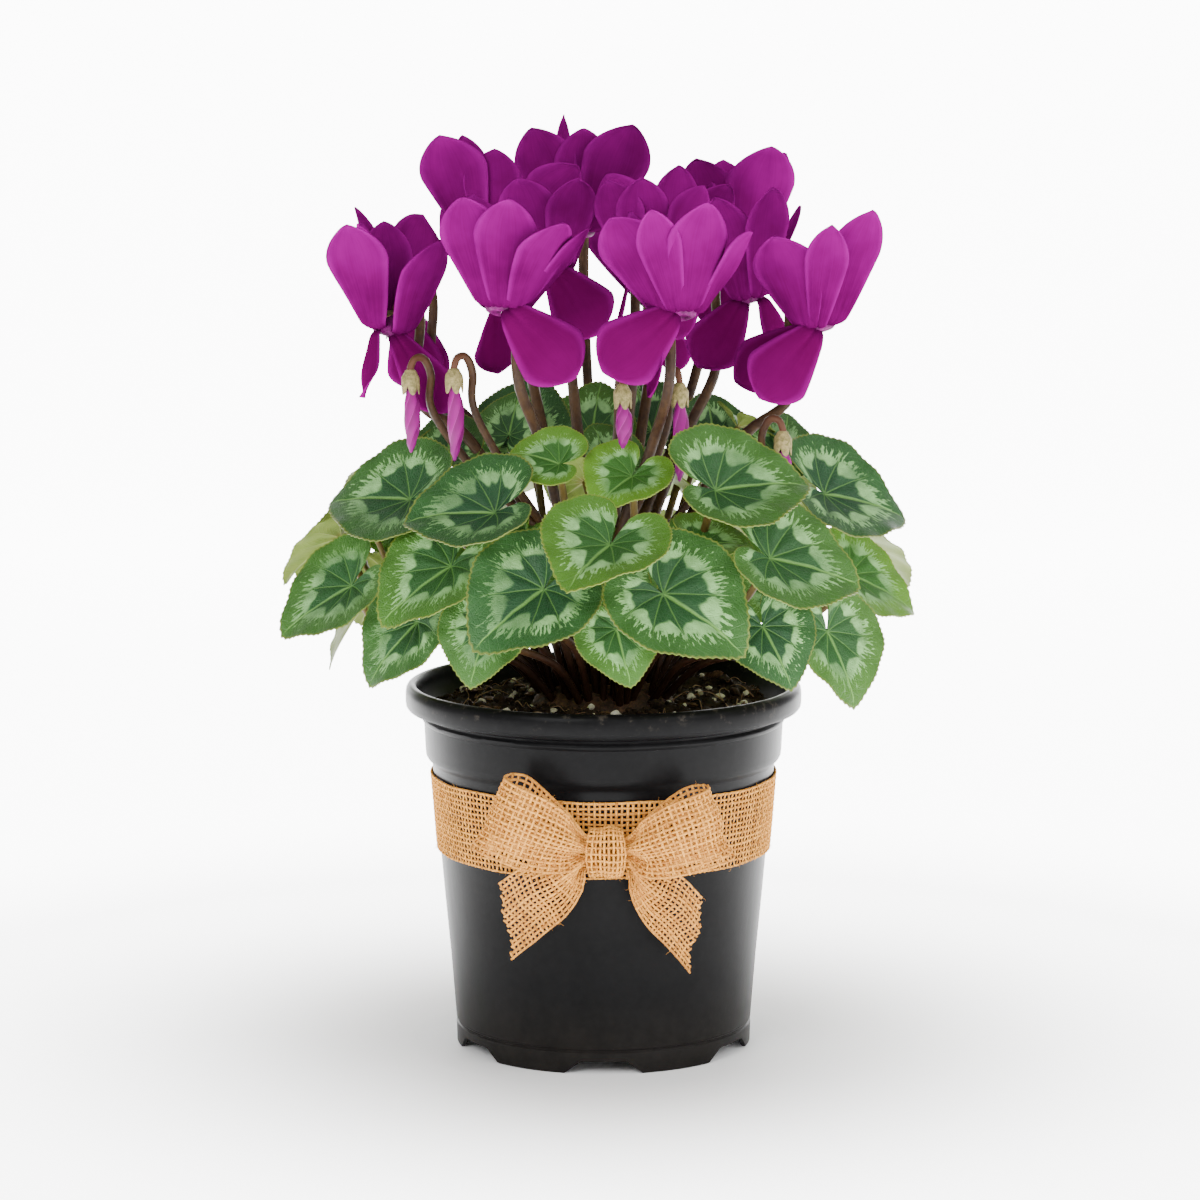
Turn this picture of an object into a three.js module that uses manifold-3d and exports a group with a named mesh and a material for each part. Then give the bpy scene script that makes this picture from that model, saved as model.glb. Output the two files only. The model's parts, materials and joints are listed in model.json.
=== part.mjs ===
// A florist's cyclamen in a black plastic nursery pot, tied with a band and bow of burlap ribbon.
// Millimetres, +Z up. The origin is the middle of the pot's foot, on the surface that it stands on.
import * as THREE from 'three';
import { mergeVertices } from 'three/addons/utils/BufferGeometryUtils.js';
import Module from 'manifold-3d';

const wasm = await Module();
wasm.setup();

// Driving dimensions.
const rimRadius = 65;
const potHeight = 120;
const footRadius = 48.6;
const potWall = 1.6;
const potFloor = 5;
const soilTop = 112.5;
const clearance = 0.3;
const ribbonWidth = 25;
const ribbonThickness = 0.9;
const bandMiddle = 78;
const tuberRadius = 25;
const tuberTop = 121;
const petioleRadius = 1.5;
const stalkRadius = 1.7;
const leafThickness = 0.8;
const petalThickness = 0.8;
const noseRadius = 5.4;
const noseHeight = 6;
const budLength = 19;

const degrees = Math.PI / 180;
const upward = new THREE.Vector3(0, 0, 1);

const black = { color: 0x1d1d20, roughness: 0.42, metalness: 0 };
const peat = { color: 0x2a1c14, roughness: 0.95, metalness: 0 };
const brown = { color: 0x7d4b34, roughness: 0.5, metalness: 0 };
const green = { color: 0x3c6b45, roughness: 0.5, metalness: 0 };
const lightGreen = { color: 0x9bab5c, roughness: 0.55, metalness: 0 };
const magenta = { color: 0xa8008f, roughness: 0.55, metalness: 0 };
const burlap = { color: 0xc49a66, roughness: 0.9, metalness: 0 };

const plant = new THREE.Group();

function addNode(name, geometry, colours) {
  const node = new THREE.Mesh(geometry, new THREE.MeshStandardMaterial(colours));
  node.name = name;
  plant.add(node);
  return node;
}

// Closed mesh to solid and back.
function toSolid(geometry) {
  const loose = geometry.index ? geometry.toNonIndexed() : geometry.clone();
  for (const attribute of Object.keys(loose.attributes)) {
    if (attribute !== 'position') loose.deleteAttribute(attribute);
  }
  const merged = mergeVertices(loose, 1e-4);
  const index = merged.index.array;
  const corners = [];
  for (let i = 0; i < index.length; i += 3) {
    const [a, b, c] = [index[i], index[i + 1], index[i + 2]];
    if (a !== b && b !== c && c !== a) corners.push(a, b, c);
  }
  return new wasm.Manifold(new wasm.Mesh({
    numProp: 3,
    vertProperties: new Float32Array(merged.attributes.position.array),
    triVerts: new Uint32Array(corners),
  }));
}

function toGeometry(solid) {
  const mesh = solid.getMesh();
  const geometry = new THREE.BufferGeometry();
  geometry.setAttribute('position', new THREE.BufferAttribute(new Float32Array(mesh.vertProperties), 3));
  geometry.setIndex(new THREE.BufferAttribute(new Uint32Array(mesh.triVerts), 1));
  return geometry;
}

const joined = (solids) => solids.reduce((whole, solid) => whole.add(solid));

// A thin closed blade: two faces split alike, half the thickness to each side of a middle surface.
// The border runs round the blade with the material on its left, seen from the front.
function bladeGeometry(points, triangles, border, thickness) {
  const normals = points.map(() => new THREE.Vector3());
  for (const [a, b, c] of triangles) {
    const edge = points[b].clone().sub(points[a]);
    const normal = edge.cross(points[c].clone().sub(points[a]));
    for (const corner of [a, b, c]) normals[corner].add(normal);
  }
  const side = (direction) => points.map((point, i) => (
    point.clone().addScaledVector(normals[i].clone().normalize(), direction * thickness / 2)
  ));
  const vertices = [...side(1), ...side(-1)];
  const back = points.length;
  const faces = [];
  for (const [a, b, c] of triangles) faces.push(a, b, c, back + c, back + b, back + a);
  border.forEach((a, i) => {
    const b = border[(i + 1) % border.length];
    faces.push(back + a, back + b, b, back + a, b, a);
  });
  const geometry = new THREE.BufferGeometry().setFromPoints(vertices);
  geometry.setIndex(faces);
  return geometry;
}

// Triangles and border of a strip of stations, three points wide, that may end in one tip point.
function stripFaces(stations, pointed) {
  const triangles = [];
  for (let i = 0; i < stations - 1; i += 1) {
    for (let j = 0; j < 2; j += 1) {
      const a = 3 * i + j;
      triangles.push([a, a + 1, a + 4], [a, a + 4, a + 3]);
    }
  }
  const last = 3 * (stations - 1);
  const tip = last + 3;
  if (pointed) triangles.push([last, last + 1, tip], [last + 1, last + 2, tip]);
  const border = [0, 1, 2];
  for (let i = 1; i < stations; i += 1) border.push(3 * i + 2);
  border.push(pointed ? tip : last + 1);
  for (let i = stations - 1; i > 0; i -= 1) border.push(3 * i);
  return { triangles, border };
}

// A round stem whose rings lie at the route's own points.
class StemRoute extends THREE.CatmullRomCurve3 {
  getUtoTmapping(u) {
    return u;
  }
}

function stemSolid(points, radius, sides = 5) {
  const outline = new THREE.Shape();
  for (let i = 0; i < sides; i += 1) {
    const angle = 2 * Math.PI * i / sides;
    const corner = [radius * Math.cos(angle), radius * Math.sin(angle)];
    if (i === 0) outline.moveTo(...corner);
    else outline.lineTo(...corner);
  }
  const route = new StemRoute(points.map((point) => new THREE.Vector3(...point)));
  return toSolid(new THREE.ExtrudeGeometry(outline, { steps: points.length - 1, extrudePath: route }));
}

// The pot: a tapered wall with a step below its neck, a rolled rim and notches in its foot.
const potSegments = 32;
const neckRadius = 59;
const stepRadius = 56.3;
const stepHeight = 94;
const outerWall = [
  [footRadius, 0],
  [footRadius + 0.2, 7],
  [footRadius - 0.1, 7.6],
  [stepRadius, stepHeight],
  [neckRadius - 0.5, stepHeight + 4],
  [neckRadius, 109.5],
  [rimRadius - 4.4, 111],
  [rimRadius - 0.7, 112.2],
  [rimRadius, 114.5],
  [rimRadius - 0.4, 118.5],
  [rimRadius - 1.8, potHeight],
];

function wallRadius(height) {
  const above = outerWall.findIndex(([, z]) => z > height);
  const [[lowRadius, low], [highRadius, high]] = [outerWall[above - 1], outerWall[above]];
  return lowRadius + (highRadius - lowRadius) * (height - low) / (high - low);
}

const innerWall = [
  [rimRadius - 3.2, potHeight - 0.3],
  [neckRadius - potWall, 110],
  [stepRadius - potWall, stepHeight],
  [footRadius - potWall, potFloor + potWall],
];

const notchCount = 6;
const notchHeight = 4.3;
const notchTop = 14.7;
const notchBottom = 25.5;
const drainHoles = 4;
const drainRadius = 5;
const drainCircle = 28;

function potGeometry() {
  const profile = [
    ...outerWall,
    ...innerWall,
    [0, potFloor + potWall],
    [0, potFloor],
    [footRadius - potWall - 1, potFloor],
    [footRadius - potWall, 0],
  ];
  const points = [...profile, profile[0]].map(([r, z]) => new THREE.Vector2(r, z));
  const turned = new THREE.LatheGeometry(points, potSegments).rotateX(Math.PI / 2);
  let pot = toSolid(turned);
  const notch = new THREE.Shape([
    new THREE.Vector2(-notchBottom / 2, -1),
    new THREE.Vector2(notchBottom / 2, -1),
    new THREE.Vector2(notchTop / 2, notchHeight),
    new THREE.Vector2(-notchTop / 2, notchHeight),
  ]);
  for (let i = 0; i < notchCount; i += 1) {
    const cutter = new THREE.ExtrudeGeometry(notch, { depth: 12, bevelEnabled: false });
    cutter.rotateX(Math.PI / 2).translate(0, -footRadius + 8, 0).rotateZ(i * 2 * Math.PI / notchCount);
    pot = pot.subtract(toSolid(cutter));
  }
  for (let i = 0; i < drainHoles; i += 1) {
    const drill = new THREE.CylinderGeometry(drainRadius, drainRadius, 10, 8).rotateX(Math.PI / 2);
    const angle = (i + 0.5) * 2 * Math.PI / drainHoles;
    drill.translate(drainCircle * Math.cos(angle), drainCircle * Math.sin(angle), potFloor);
    pot = pot.subtract(toSolid(drill));
  }
  return toGeometry(pot);
}

// The soil fills the pot, with a lumpy top and a hollow for the tuber.
const tuberShape = [
  [0, tuberTop - 22],
  [tuberRadius * 0.7, tuberTop - 19],
  [tuberRadius, tuberTop - 11],
  [tuberRadius * 0.8, tuberTop - 3.5],
  [0, tuberTop],
];

function tuberSolid(grow) {
  const points = tuberShape.map(([r, z]) => (
    new THREE.Vector2(r > 0 ? r + grow : 0, z + (z > tuberTop - 11 ? grow : -grow))
  ));
  return toSolid(new THREE.LatheGeometry(points, 10).rotateX(Math.PI / 2));
}

function soilLump(x, y) {
  const waves = Math.sin(0.21 * x + 1.3) * Math.cos(0.17 * y - 0.4) + 0.6 * Math.sin(0.33 * y + 0.27 * x);
  return 0.9 * waves + 2.2 * Math.exp(-((x - 42) ** 2 + (y - 30) ** 2) / 260);
}

function soilGeometry() {
  const base = potFloor + potWall + clearance;
  const edge = (height) => {
    const inner = [...innerWall].reverse();
    const above = Math.max(1, inner.findIndex(([, z]) => z >= height));
    const [[lowRadius, low], [highRadius, high]] = [inner[above - 1], inner[above]];
    return lowRadius + (highRadius - lowRadius) * (height - low) / (high - low) - 2 * clearance;
  };
  const profile = [
    [0, base],
    [edge(base) - 0.4, base],
    [edge(stepHeight), stepHeight],
    [edge(109), 109],
    [edge(109), soilTop - 2],
    [50, soilTop],
    [38, soilTop + 1],
    [0, soilTop + 1.5],
  ];
  const points = profile.map(([r, z]) => new THREE.Vector2(r, z));
  const turned = new THREE.LatheGeometry(points, 20).rotateX(Math.PI / 2);
  const position = turned.attributes.position;
  for (let i = 0; i < position.count; i += 1) {
    const [x, y, z] = [position.getX(i), position.getY(i), position.getZ(i)];
    if (z > soilTop - 3) position.setZ(i, z + soilLump(x, y));
  }
  return toGeometry(toSolid(turned).subtract(tuberSolid(clearance)));
}

// Leaves. Each has its joint, where the leaf stalk meets it, the bearing that its upper face turns to,
// how far it leans that way from level, the turn of its tip from straight downhill (towards the right
// as seen from outside), its length from joint to tip and how much it rises round the joint.
const leaves = [
  { joint: [-18.5, -72, 161], face: 262, lean: 50, spin: -42, length: 30, funnel: 0.26 },
  { joint: [18.5, -75, 160], face: 282, lean: 50, spin: 46, length: 32, funnel: 0.24 },
  { joint: [2, -77, 175.5], face: 270, lean: 32, spin: -28, length: 28, funnel: 0.4 },
  { joint: [-48, -50, 165], face: 236, lean: 46, spin: -30, length: 29, funnel: 0.3 },
  { joint: [-34, -58, 183], face: 247, lean: 36, spin: -72, length: 29, funnel: 0.38 },
  { joint: [-62, -24, 183], face: 238, lean: 42, spin: -82, length: 30, funnel: 0.28 },
  { joint: [-81, -24, 155], face: 228, lean: 46, spin: -36, length: 28, funnel: 0.25 },
  { joint: [-86, 4, 167], face: 150, lean: 40, spin: 30, length: 24, funnel: 0.2 },
  { joint: [-80, 16, 142], face: 172, lean: 62, spin: 12, length: 23, funnel: 0.2 },
  { joint: [-59, -42, 146], face: 226, lean: 60, spin: -26, length: 26, funnel: 0.25 },
  { joint: [-36, -60, 148], face: 250, lean: 62, spin: -8, length: 21, funnel: 0.2 },
  { joint: [4, -74.5, 149], face: 274, lean: 64, spin: 12, length: 19, funnel: 0.16 },
  { joint: [-14, -45, 197], face: 262, lean: 42, spin: -104, length: 17, funnel: 0.34 },
  { joint: [9, -45, 193], face: 268, lean: 36, spin: -34, length: 20, funnel: 0.4 },
  { joint: [35, -57, 190], face: 291, lean: 38, spin: 86, length: 31, funnel: 0.36 },
  { joint: [52, -60, 169], face: 303, lean: 45, spin: 62, length: 31, funnel: 0.28 },
  { joint: [71, -18, 184], face: 312, lean: 42, spin: 64, length: 31, funnel: 0.26 },
  { joint: [80, -12, 157], face: 322, lean: 46, spin: 44, length: 26, funnel: 0.25 },
  { joint: [79, 30, 166], face: 18, lean: 32, spin: 2, length: 32, funnel: 0.14 },
  { joint: [71, -42, 143], face: 312, lean: 64, spin: 4, length: 26, funnel: 0.25 },
  { joint: [50, -58, 147], face: 292, lean: 62, spin: 16, length: 22, funnel: 0.22 },
  { joint: [62, 16, 194], face: 4, lean: 22, spin: -6, length: 25, funnel: 0.2 },
  { joint: [30, 47, 197], face: 54, lean: 28, spin: 10, length: 24, funnel: 0.22 },
  { joint: [-4, 23, 199], face: 272, lean: 60, spin: 170, length: 20, funnel: 0.16 },
  { joint: [-31, 12, 200], face: 250, lean: 66, spin: 175, length: 16, funnel: 0.16 },
  { joint: [-62, 18, 193], face: 164, lean: 26, spin: 14, length: 28, funnel: 0.2 },
  { joint: [58, 58, 151], face: 45, lean: 46, spin: 6, length: 29, funnel: 0.26 },
  { joint: [15, 79, 153], face: 80, lean: 46, spin: -10, length: 30, funnel: 0.26 },
  { joint: [-34, 72, 150], face: 115, lean: 48, spin: 14, length: 29, funnel: 0.26 },
  { joint: [-69, 42, 151], face: 149, lean: 46, spin: -8, length: 28, funnel: 0.26 },
  { joint: [50, 46, 182], face: 44, lean: 34, spin: -12, length: 28, funnel: 0.3 },
  { joint: [12, 63, 180], face: 80, lean: 34, spin: 16, length: 29, funnel: 0.3 },
  { joint: [-33, 54, 178], face: 122, lean: 34, spin: -14, length: 29, funnel: 0.3 },
  { joint: [-35, 34, 200], face: 134, lean: 26, spin: 12, length: 18, funnel: 0.24 },
];
const paleLeaves = [7, 8, 18, 21, 25];
// Steps of the blade's inner ring. Its edge has twice as many, as teeth.
const leafTeeth = 10;
const sinusHalfAngle = 10 * degrees;

function leafAxes({ face, lean, spin }) {
  const [bearing, tilt, turn] = [face * degrees, lean * degrees, spin * degrees];
  const outward = new THREE.Vector3(Math.cos(bearing), Math.sin(bearing), 0);
  const normal = outward.clone().multiplyScalar(Math.sin(tilt)).addScaledVector(upward, Math.cos(tilt));
  const downhill = outward.clone().multiplyScalar(Math.cos(tilt)).addScaledVector(upward, -Math.sin(tilt));
  const right = normal.clone().cross(downhill);
  const midrib = downhill.clone().multiplyScalar(Math.cos(turn)).addScaledVector(right, Math.sin(turn));
  return { normal, midrib, across: normal.clone().cross(midrib) };
}

// Reach of the blade's edge from the joint, as a share of its length, at an angle from the midrib.
function leafReach(angle) {
  const share = Math.abs(angle) / (Math.PI - sinusHalfAngle);
  const heart = (0.74 - 0.17 * share ** 2.6) * (1 - 0.2 * share ** 12);
  return heart + 0.26 * Math.exp(-((angle / (24 * degrees)) ** 2));
}

function leafPoint(leaf, axes, angle, share) {
  const out = leafReach(angle) * share;
  const wave = 0.03 * out ** 3 * Math.sin(3 * angle + leaf.face);
  const rise = leaf.funnel * out * (1 - 0.4 * out) + wave;
  return new THREE.Vector3(...leaf.joint)
    .addScaledVector(axes.midrib, leaf.length * out * Math.cos(angle))
    .addScaledVector(axes.across, leaf.length * out * Math.sin(angle))
    .addScaledVector(axes.normal, leaf.length * rise);
}

function leafGeometry(leaf) {
  const axes = leafAxes(leaf);
  const widest = Math.PI - sinusHalfAngle;
  const outer = 2 * leafTeeth;
  const points = [leafPoint(leaf, axes, 0, 0)];
  for (let i = 0; i <= leafTeeth; i += 1) {
    points.push(leafPoint(leaf, axes, widest * (2 * i / leafTeeth - 1), 0.55));
  }
  for (let i = 0; i <= outer; i += 1) {
    const tooth = i % 2 === leafTeeth % 2 ? 1.015 : 0.985;
    points.push(leafPoint(leaf, axes, widest * (2 * i / outer - 1), tooth));
  }
  const inner = (i) => 1 + i;
  const rim = (i) => 2 + leafTeeth + i;
  const triangles = [];
  for (let i = 0; i < leafTeeth; i += 1) {
    triangles.push([0, inner(i), inner(i + 1)]);
    triangles.push([inner(i), rim(2 * i), rim(2 * i + 1)]);
    triangles.push([inner(i), rim(2 * i + 1), inner(i + 1)]);
    triangles.push([inner(i + 1), rim(2 * i + 1), rim(2 * i + 2)]);
  }
  const border = [inner(leafTeeth), 0, inner(0)];
  for (let i = 0; i <= outer; i += 1) border.push(rim(i));
  return bladeGeometry(points, triangles, border, leafThickness);
}

// A leaf stalk rises from the tuber and meets its blade from below, square to it.
function petioleSolid(leaf, i) {
  const { normal } = leafAxes(leaf);
  const [x, y, z] = leaf.joint;
  const joint = new THREE.Vector3(x, y, z);
  const bearing = Math.atan2(y, x) + 0.25 * Math.sin(7 * i);
  const start = THREE.MathUtils.mapLinear(z, 145, 205, 18, 13);
  const base = new THREE.Vector3(start * Math.cos(bearing), start * Math.sin(bearing), tuberTop - 8);
  const end = joint.clone().addScaledVector(normal, -(leafThickness / 2 + clearance + 0.1));
  const rise = base.distanceTo(end);
  const low = base.clone().lerp(end, 0.3).addScaledVector(upward, 0.1 * rise);
  const high = end.clone().addScaledVector(normal, -0.28 * rise);
  return stemSolid([base, low, high, end].map((point) => point.toArray()), petioleRadius, 4);
}

// Petals of a bloom that is seen from every side alike: three upright and two hanging.
function evenPetals(face, tall, drop, spread, twist) {
  return [
    [face, 0, tall, 22, 74, twist, 10],
    [face + 44, -spread, tall, 22, 74, twist, 14],
    [face - 44, spread, tall, 22, 74, twist, 14],
    [face + 112, 0.6 * spread, drop, 20, -76, twist, 0],
    [face - 112, -0.6 * spread, drop, 20, -76, twist, 0],
  ];
}

// Blooms. Each has the middle of its mouth, the bearing it turns to and how far its mouth tips outwards.
// A petal has the bearing it faces, its lean aside, length, width, slope, twist and the curl of its tip.
const blooms = [
  {
    mouth: [-69, -18, 236], face: 200, tip: 20,
    petals: [
      [232, 6, 38, 24, 77, 8, -4], [316, -6, 37, 24, 68, 16, 4], [82, -8, 40, 18, 76, 0, 8],
      [150, 0, 36, 20, 76, 10, 0], [290, 30, 32, 16, -72, 12, 6], [215, 12, 24, 16, -74, 20, 0],
    ],
  },
  {
    mouth: [-31.5, -53, 246], face: 244, tip: 18,
    petals: [
      [232, 7, 38, 24, 80, 10, -4], [268, -4, 39, 20, 74, 0, 0], [312, -10, 35, 24, 64, 12, 16],
      [350, -22, 36, 22, 56, 10, -8], [122, 0, 40, 21, 78, 0, 6], [283, 42, 32, 23, -74, 6, 0],
    ],
  },
  {
    mouth: [23.5, -58, 245], face: 286, tip: 18,
    petals: [
      [226, 18, 37, 25, 71, 8, 6], [262, 11, 38, 14, 72, 10, 0], [292, -5, 38, 22, 80, 16, 8],
      [350, -22, 33, 21, 62, 0, 0], [158, 0, 36, 20, 76, 0, 0], [262, -50, 31, 23, -76, 0, 0],
      [196, 0, 27, 15, -84, 0, 0],
    ],
  },
  {
    mouth: [69, -25, 238], face: 332, tip: 20,
    petals: [
      [228, 8, 35, 26, 73, 8, 4], [262, -9, 39, 14, 72, 10, 0], [304, -12, 42, 22, 78, 12, 4],
      [20, -8, 34, 20, 72, 0, 0], [262, -40, 31, 22, -72, 0, 0], [225, -48, 30, 21, -66, 0, 0],
    ],
  },
  {
    mouth: [47, 2, 245], face: 350, tip: 16,
    petals: [
      [252, 12, 38, 18, 80, 8, 0], [300, 0, 40, 18, 80, 10, 4], [10, -10, 34, 20, 70, 0, 0],
      [250, -30, 27, 20, -74, 0, 0], [330, 14, 25, 18, -74, 0, 0],
    ],
  },
  {
    mouth: [45, 42, 256], face: 350, tip: 14,
    petals: [
      [238, 12, 38, 22, 79, 6, 0], [290, -7, 42, 26, 76, 10, 6], [30, 0, 38, 20, 74, 0, 0],
      [106, 0, 36, 18, 76, 0, 0], [260, -20, 26, 20, -74, 0, 0],
    ],
  },
  { mouth: [-66, 30, 238], face: 156, tip: 24, petals: evenPetals(156, 38, 26, 24, 16) },
  { mouth: [-32, 62, 240], face: 117, tip: 22, petals: evenPetals(117, 38, 26, 24, -16) },
  { mouth: [17, 68, 240], face: 78, tip: 22, petals: evenPetals(78, 38, 26, 24, 16) },
  {
    mouth: [-37, 4, 263], face: 196, tip: 12,
    petals: [
      [236, 12, 40, 25, 75, 8, 0], [276, 0, 34, 19, 81, 0, 0], [314, -34, 38, 22, 64, 0, 0],
      [112, -8, 38, 14, 84, 0, 0], [250, 30, 24, 18, -74, 0, 0],
    ],
  },
  {
    mouth: [-8, 30, 265], face: 262, tip: 10,
    petals: [
      [238, 14, 39, 23, 78, 6, 0], [276, 0, 37, 19, 82, 0, 0], [302, -16, 41, 27, 76, 6, 0],
      [140, 6, 42, 8, 88, 0, 0], [20, 0, 30, 18, 72, 0, 0],
    ],
  },
  {
    mouth: [20, 12, 254], face: 286, tip: 10,
    petals: [
      [236, 22, 37, 20, 76, 6, 0], [286, -2, 37, 16, 82, 0, 0], [320, -20, 34, 20, 68, 0, 0],
      [20, 0, 32, 18, 72, 0, 0], [180, 0, 32, 18, 74, 0, 0],
    ],
  },
  {
    mouth: [14, -24, 255], face: 292, tip: 12,
    petals: [
      [236, 8, 34, 18, 76, 6, 6], [272, 6, 34, 17, 80, 0, 8], [320, -14, 33, 19, 72, 0, 8],
      [292, 20, 24, 18, -74, 0, 0], [180, 0, 24, 18, -76, 0, 0],
    ],
  },
  {
    mouth: [-17, -20, 256], face: 236, tip: 12,
    petals: [
      [246, 8, 33, 20, 76, 6, 10], [296, -4, 34, 18, 74, 0, 14], [0, -6, 31, 16, 70, 0, 8],
      [276, 36, 27, 22, -74, 0, 0], [180, 0, 24, 18, -76, 0, 0],
    ],
  },
];
const petalBend = 0.16;
const petalStations = [0, 0.34, 0.72];
// Petals with a smaller length times width have fewer stations.
const smallStations = [0, 0.5];
const smallPetal = 690;

function petalWidth(share) {
  const widest = 0.68;
  if (share < widest) return 0.25 + 0.75 * (1 - (1 - share / widest) ** 1.2);
  return (1 - ((share - widest) / (1 - widest)) ** 1.9) ** 0.75;
}

// A petal leaves the mouth's rim outwards, bends up or down in its first part and curls at its tip.
function petalGeometry([bearing, lean, length, width, slope, twist, curl], { face, tip }) {
  const facing = (bearing - face) * degrees;
  const out = new THREE.Vector3(Math.cos(facing), Math.sin(facing), 0);
  const rising = upward.clone().applyAxisAngle(out, lean * degrees);
  const aside = upward.clone().cross(out).applyAxisAngle(out, lean * degrees);
  const place = out.clone().multiplyScalar(noseRadius - 1.3).setZ(0.5);
  place.applyAxisAngle(new THREE.Vector3(0, 1, 0), -tip * degrees);
  const points = [];
  const steps = 50;
  let reached = 0;
  for (const share of [...(length * width < smallPetal ? smallStations : petalStations), 1]) {
    for (; reached < share * steps; reached += 1) {
      const passed = (reached + 0.5) / steps;
      const bend = Math.min(1, passed / petalBend);
      const curled = curl * Math.max(0, (passed - 0.55) / 0.45) ** 2;
      const pitch = (slope * bend - 15 * (1 - bend) - curled) * degrees;
      place.addScaledVector(out, Math.cos(pitch) * length / steps);
      place.addScaledVector(rising, Math.sin(pitch) * length / steps);
    }
    const curled = curl * Math.max(0, (share - 0.55) / 0.45) ** 2;
    const pitch = (slope * Math.min(1, share / petalBend) - curled) * degrees;
    const along = out.clone().multiplyScalar(Math.cos(pitch)).addScaledVector(rising, Math.sin(pitch));
    const across = aside.clone().applyAxisAngle(along, twist * share * degrees);
    const normal = along.clone().cross(across);
    if (share === 1) {
      points.push(place.clone());
    } else {
      const half = width / 2 * petalWidth(share);
      const cup = (slope < 0 ? -0.12 : 0.14) * half;
      for (const side of [-1, 0, 1]) {
        const point = place.clone().addScaledVector(across, -side * half);
        points.push(point.addScaledVector(normal, cup * side ** 2));
      }
    }
  }
  const { triangles, border } = stripFaces((points.length - 1) / 3, true);
  return bladeGeometry(points, triangles, border, petalThickness);
}

function bloomFrame({ mouth, face, tip }) {
  const place = new THREE.Matrix4().makeTranslation(...mouth);
  const bearing = new THREE.Matrix4().makeRotationZ(face * degrees);
  const tipped = new THREE.Matrix4().makeRotationY(-tip * degrees);
  return { level: place.clone().multiply(bearing), tipped: place.multiply(bearing).multiply(tipped) };
}

function bloomGeometry(bloom) {
  const { level, tipped } = bloomFrame(bloom);
  const nose = [
    [0, -1.6],
    [noseRadius, 0.4],
    [noseRadius * 0.62, noseHeight],
    [0, noseHeight],
  ];
  const dome = new THREE.LatheGeometry(nose.map(([r, z]) => new THREE.Vector2(r, z)), 6);
  const solids = [toSolid(dome.rotateX(Math.PI / 2).applyMatrix4(tipped))];
  for (const petal of bloom.petals) solids.push(toSolid(petalGeometry(petal, bloom).applyMatrix4(level)));
  return toGeometry(joined(solids));
}

// Heights at which the stalks leave the crown and fan out.
const crownHeight = 158;
const fanHeight = 200;

// A flower stalk rises behind its bloom, hooks over and comes down on the back of the nose.
function flowerStalkSolid(bloom, i) {
  const { level, tipped } = bloomFrame(bloom);
  const at = (frame, x, z) => new THREE.Vector3(x, 0, z).applyMatrix4(frame);
  const seat = noseHeight + clearance + 0.05;
  const hook = [
    at(level, -10.5, -22),
    at(level, -10.8, 3),
    at(level, -9.4, 9.6),
    at(level, -5.6, 11.6),
    at(tipped, 0, seat + 2.6),
    at(tipped, 0, seat),
  ];
  const bearing = Math.atan2(hook[0].y, hook[0].x) + 0.3 * Math.sin(5 * i + 1);
  const start = 3 + 9 * ((i * 0.618) % 1);
  const base = new THREE.Vector3(start * Math.cos(bearing), start * Math.sin(bearing), tuberTop - 7);
  const reach = Math.hypot(hook[0].x, hook[0].y);
  const low = new THREE.Vector3(Math.cos(bearing), Math.sin(bearing), 0)
    .multiplyScalar(0.34 * reach).setZ(crownHeight);
  const high = new THREE.Vector3(hook[0].x, hook[0].y, 0).multiplyScalar(0.72).setZ(fanHeight);
  return stemSolid([base, low, high, ...hook].map((point) => point.toArray()), stalkRadius);
}

// Buds hang from hooked stalks, each in a small calyx that is one with the stalk.
const buds = [
  { top: [-61, -38, 226], face: 214, length: budLength },
  { top: [-47, -44, 227], face: 222, length: 22 },
  { top: [6, -44, 222], face: 280, length: 13 },
  { top: [24, -40, 222], face: 296, length: 24 },
  { top: [57, -33, 206], face: 330, length: 13 },
];
const budStalkRadius = 1.3;
const calyxRadius = 3.2;
const calyxLength = 7;

function budGeometry({ top, face, length }) {
  const profile = [[0, 0], [2.1, 0], [3.1, 0.22], [2.9, 0.5], [1.9, 0.78], [0, 1]];
  const points = profile.map(([r, share]) => new THREE.Vector2(r, -share * length)).reverse();
  const spindle = new THREE.LatheGeometry(points, 10).rotateX(Math.PI / 2);
  const position = spindle.attributes.position;
  for (let i = 0; i < position.count; i += 1) {
    const [x, y, z] = [position.getX(i), position.getY(i), position.getZ(i)];
    const angle = Math.atan2(y, x) + 1.2 * z / length;
    const radius = Math.hypot(x, y) * (1 + 0.12 * Math.cos(5 * Math.atan2(y, x)));
    position.setXY(i, radius * Math.cos(angle), radius * Math.sin(angle));
  }
  spindle.rotateZ(face * degrees).translate(top[0], top[1], top[2] - calyxLength - clearance);
  return toGeometry(toSolid(spindle));
}

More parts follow.
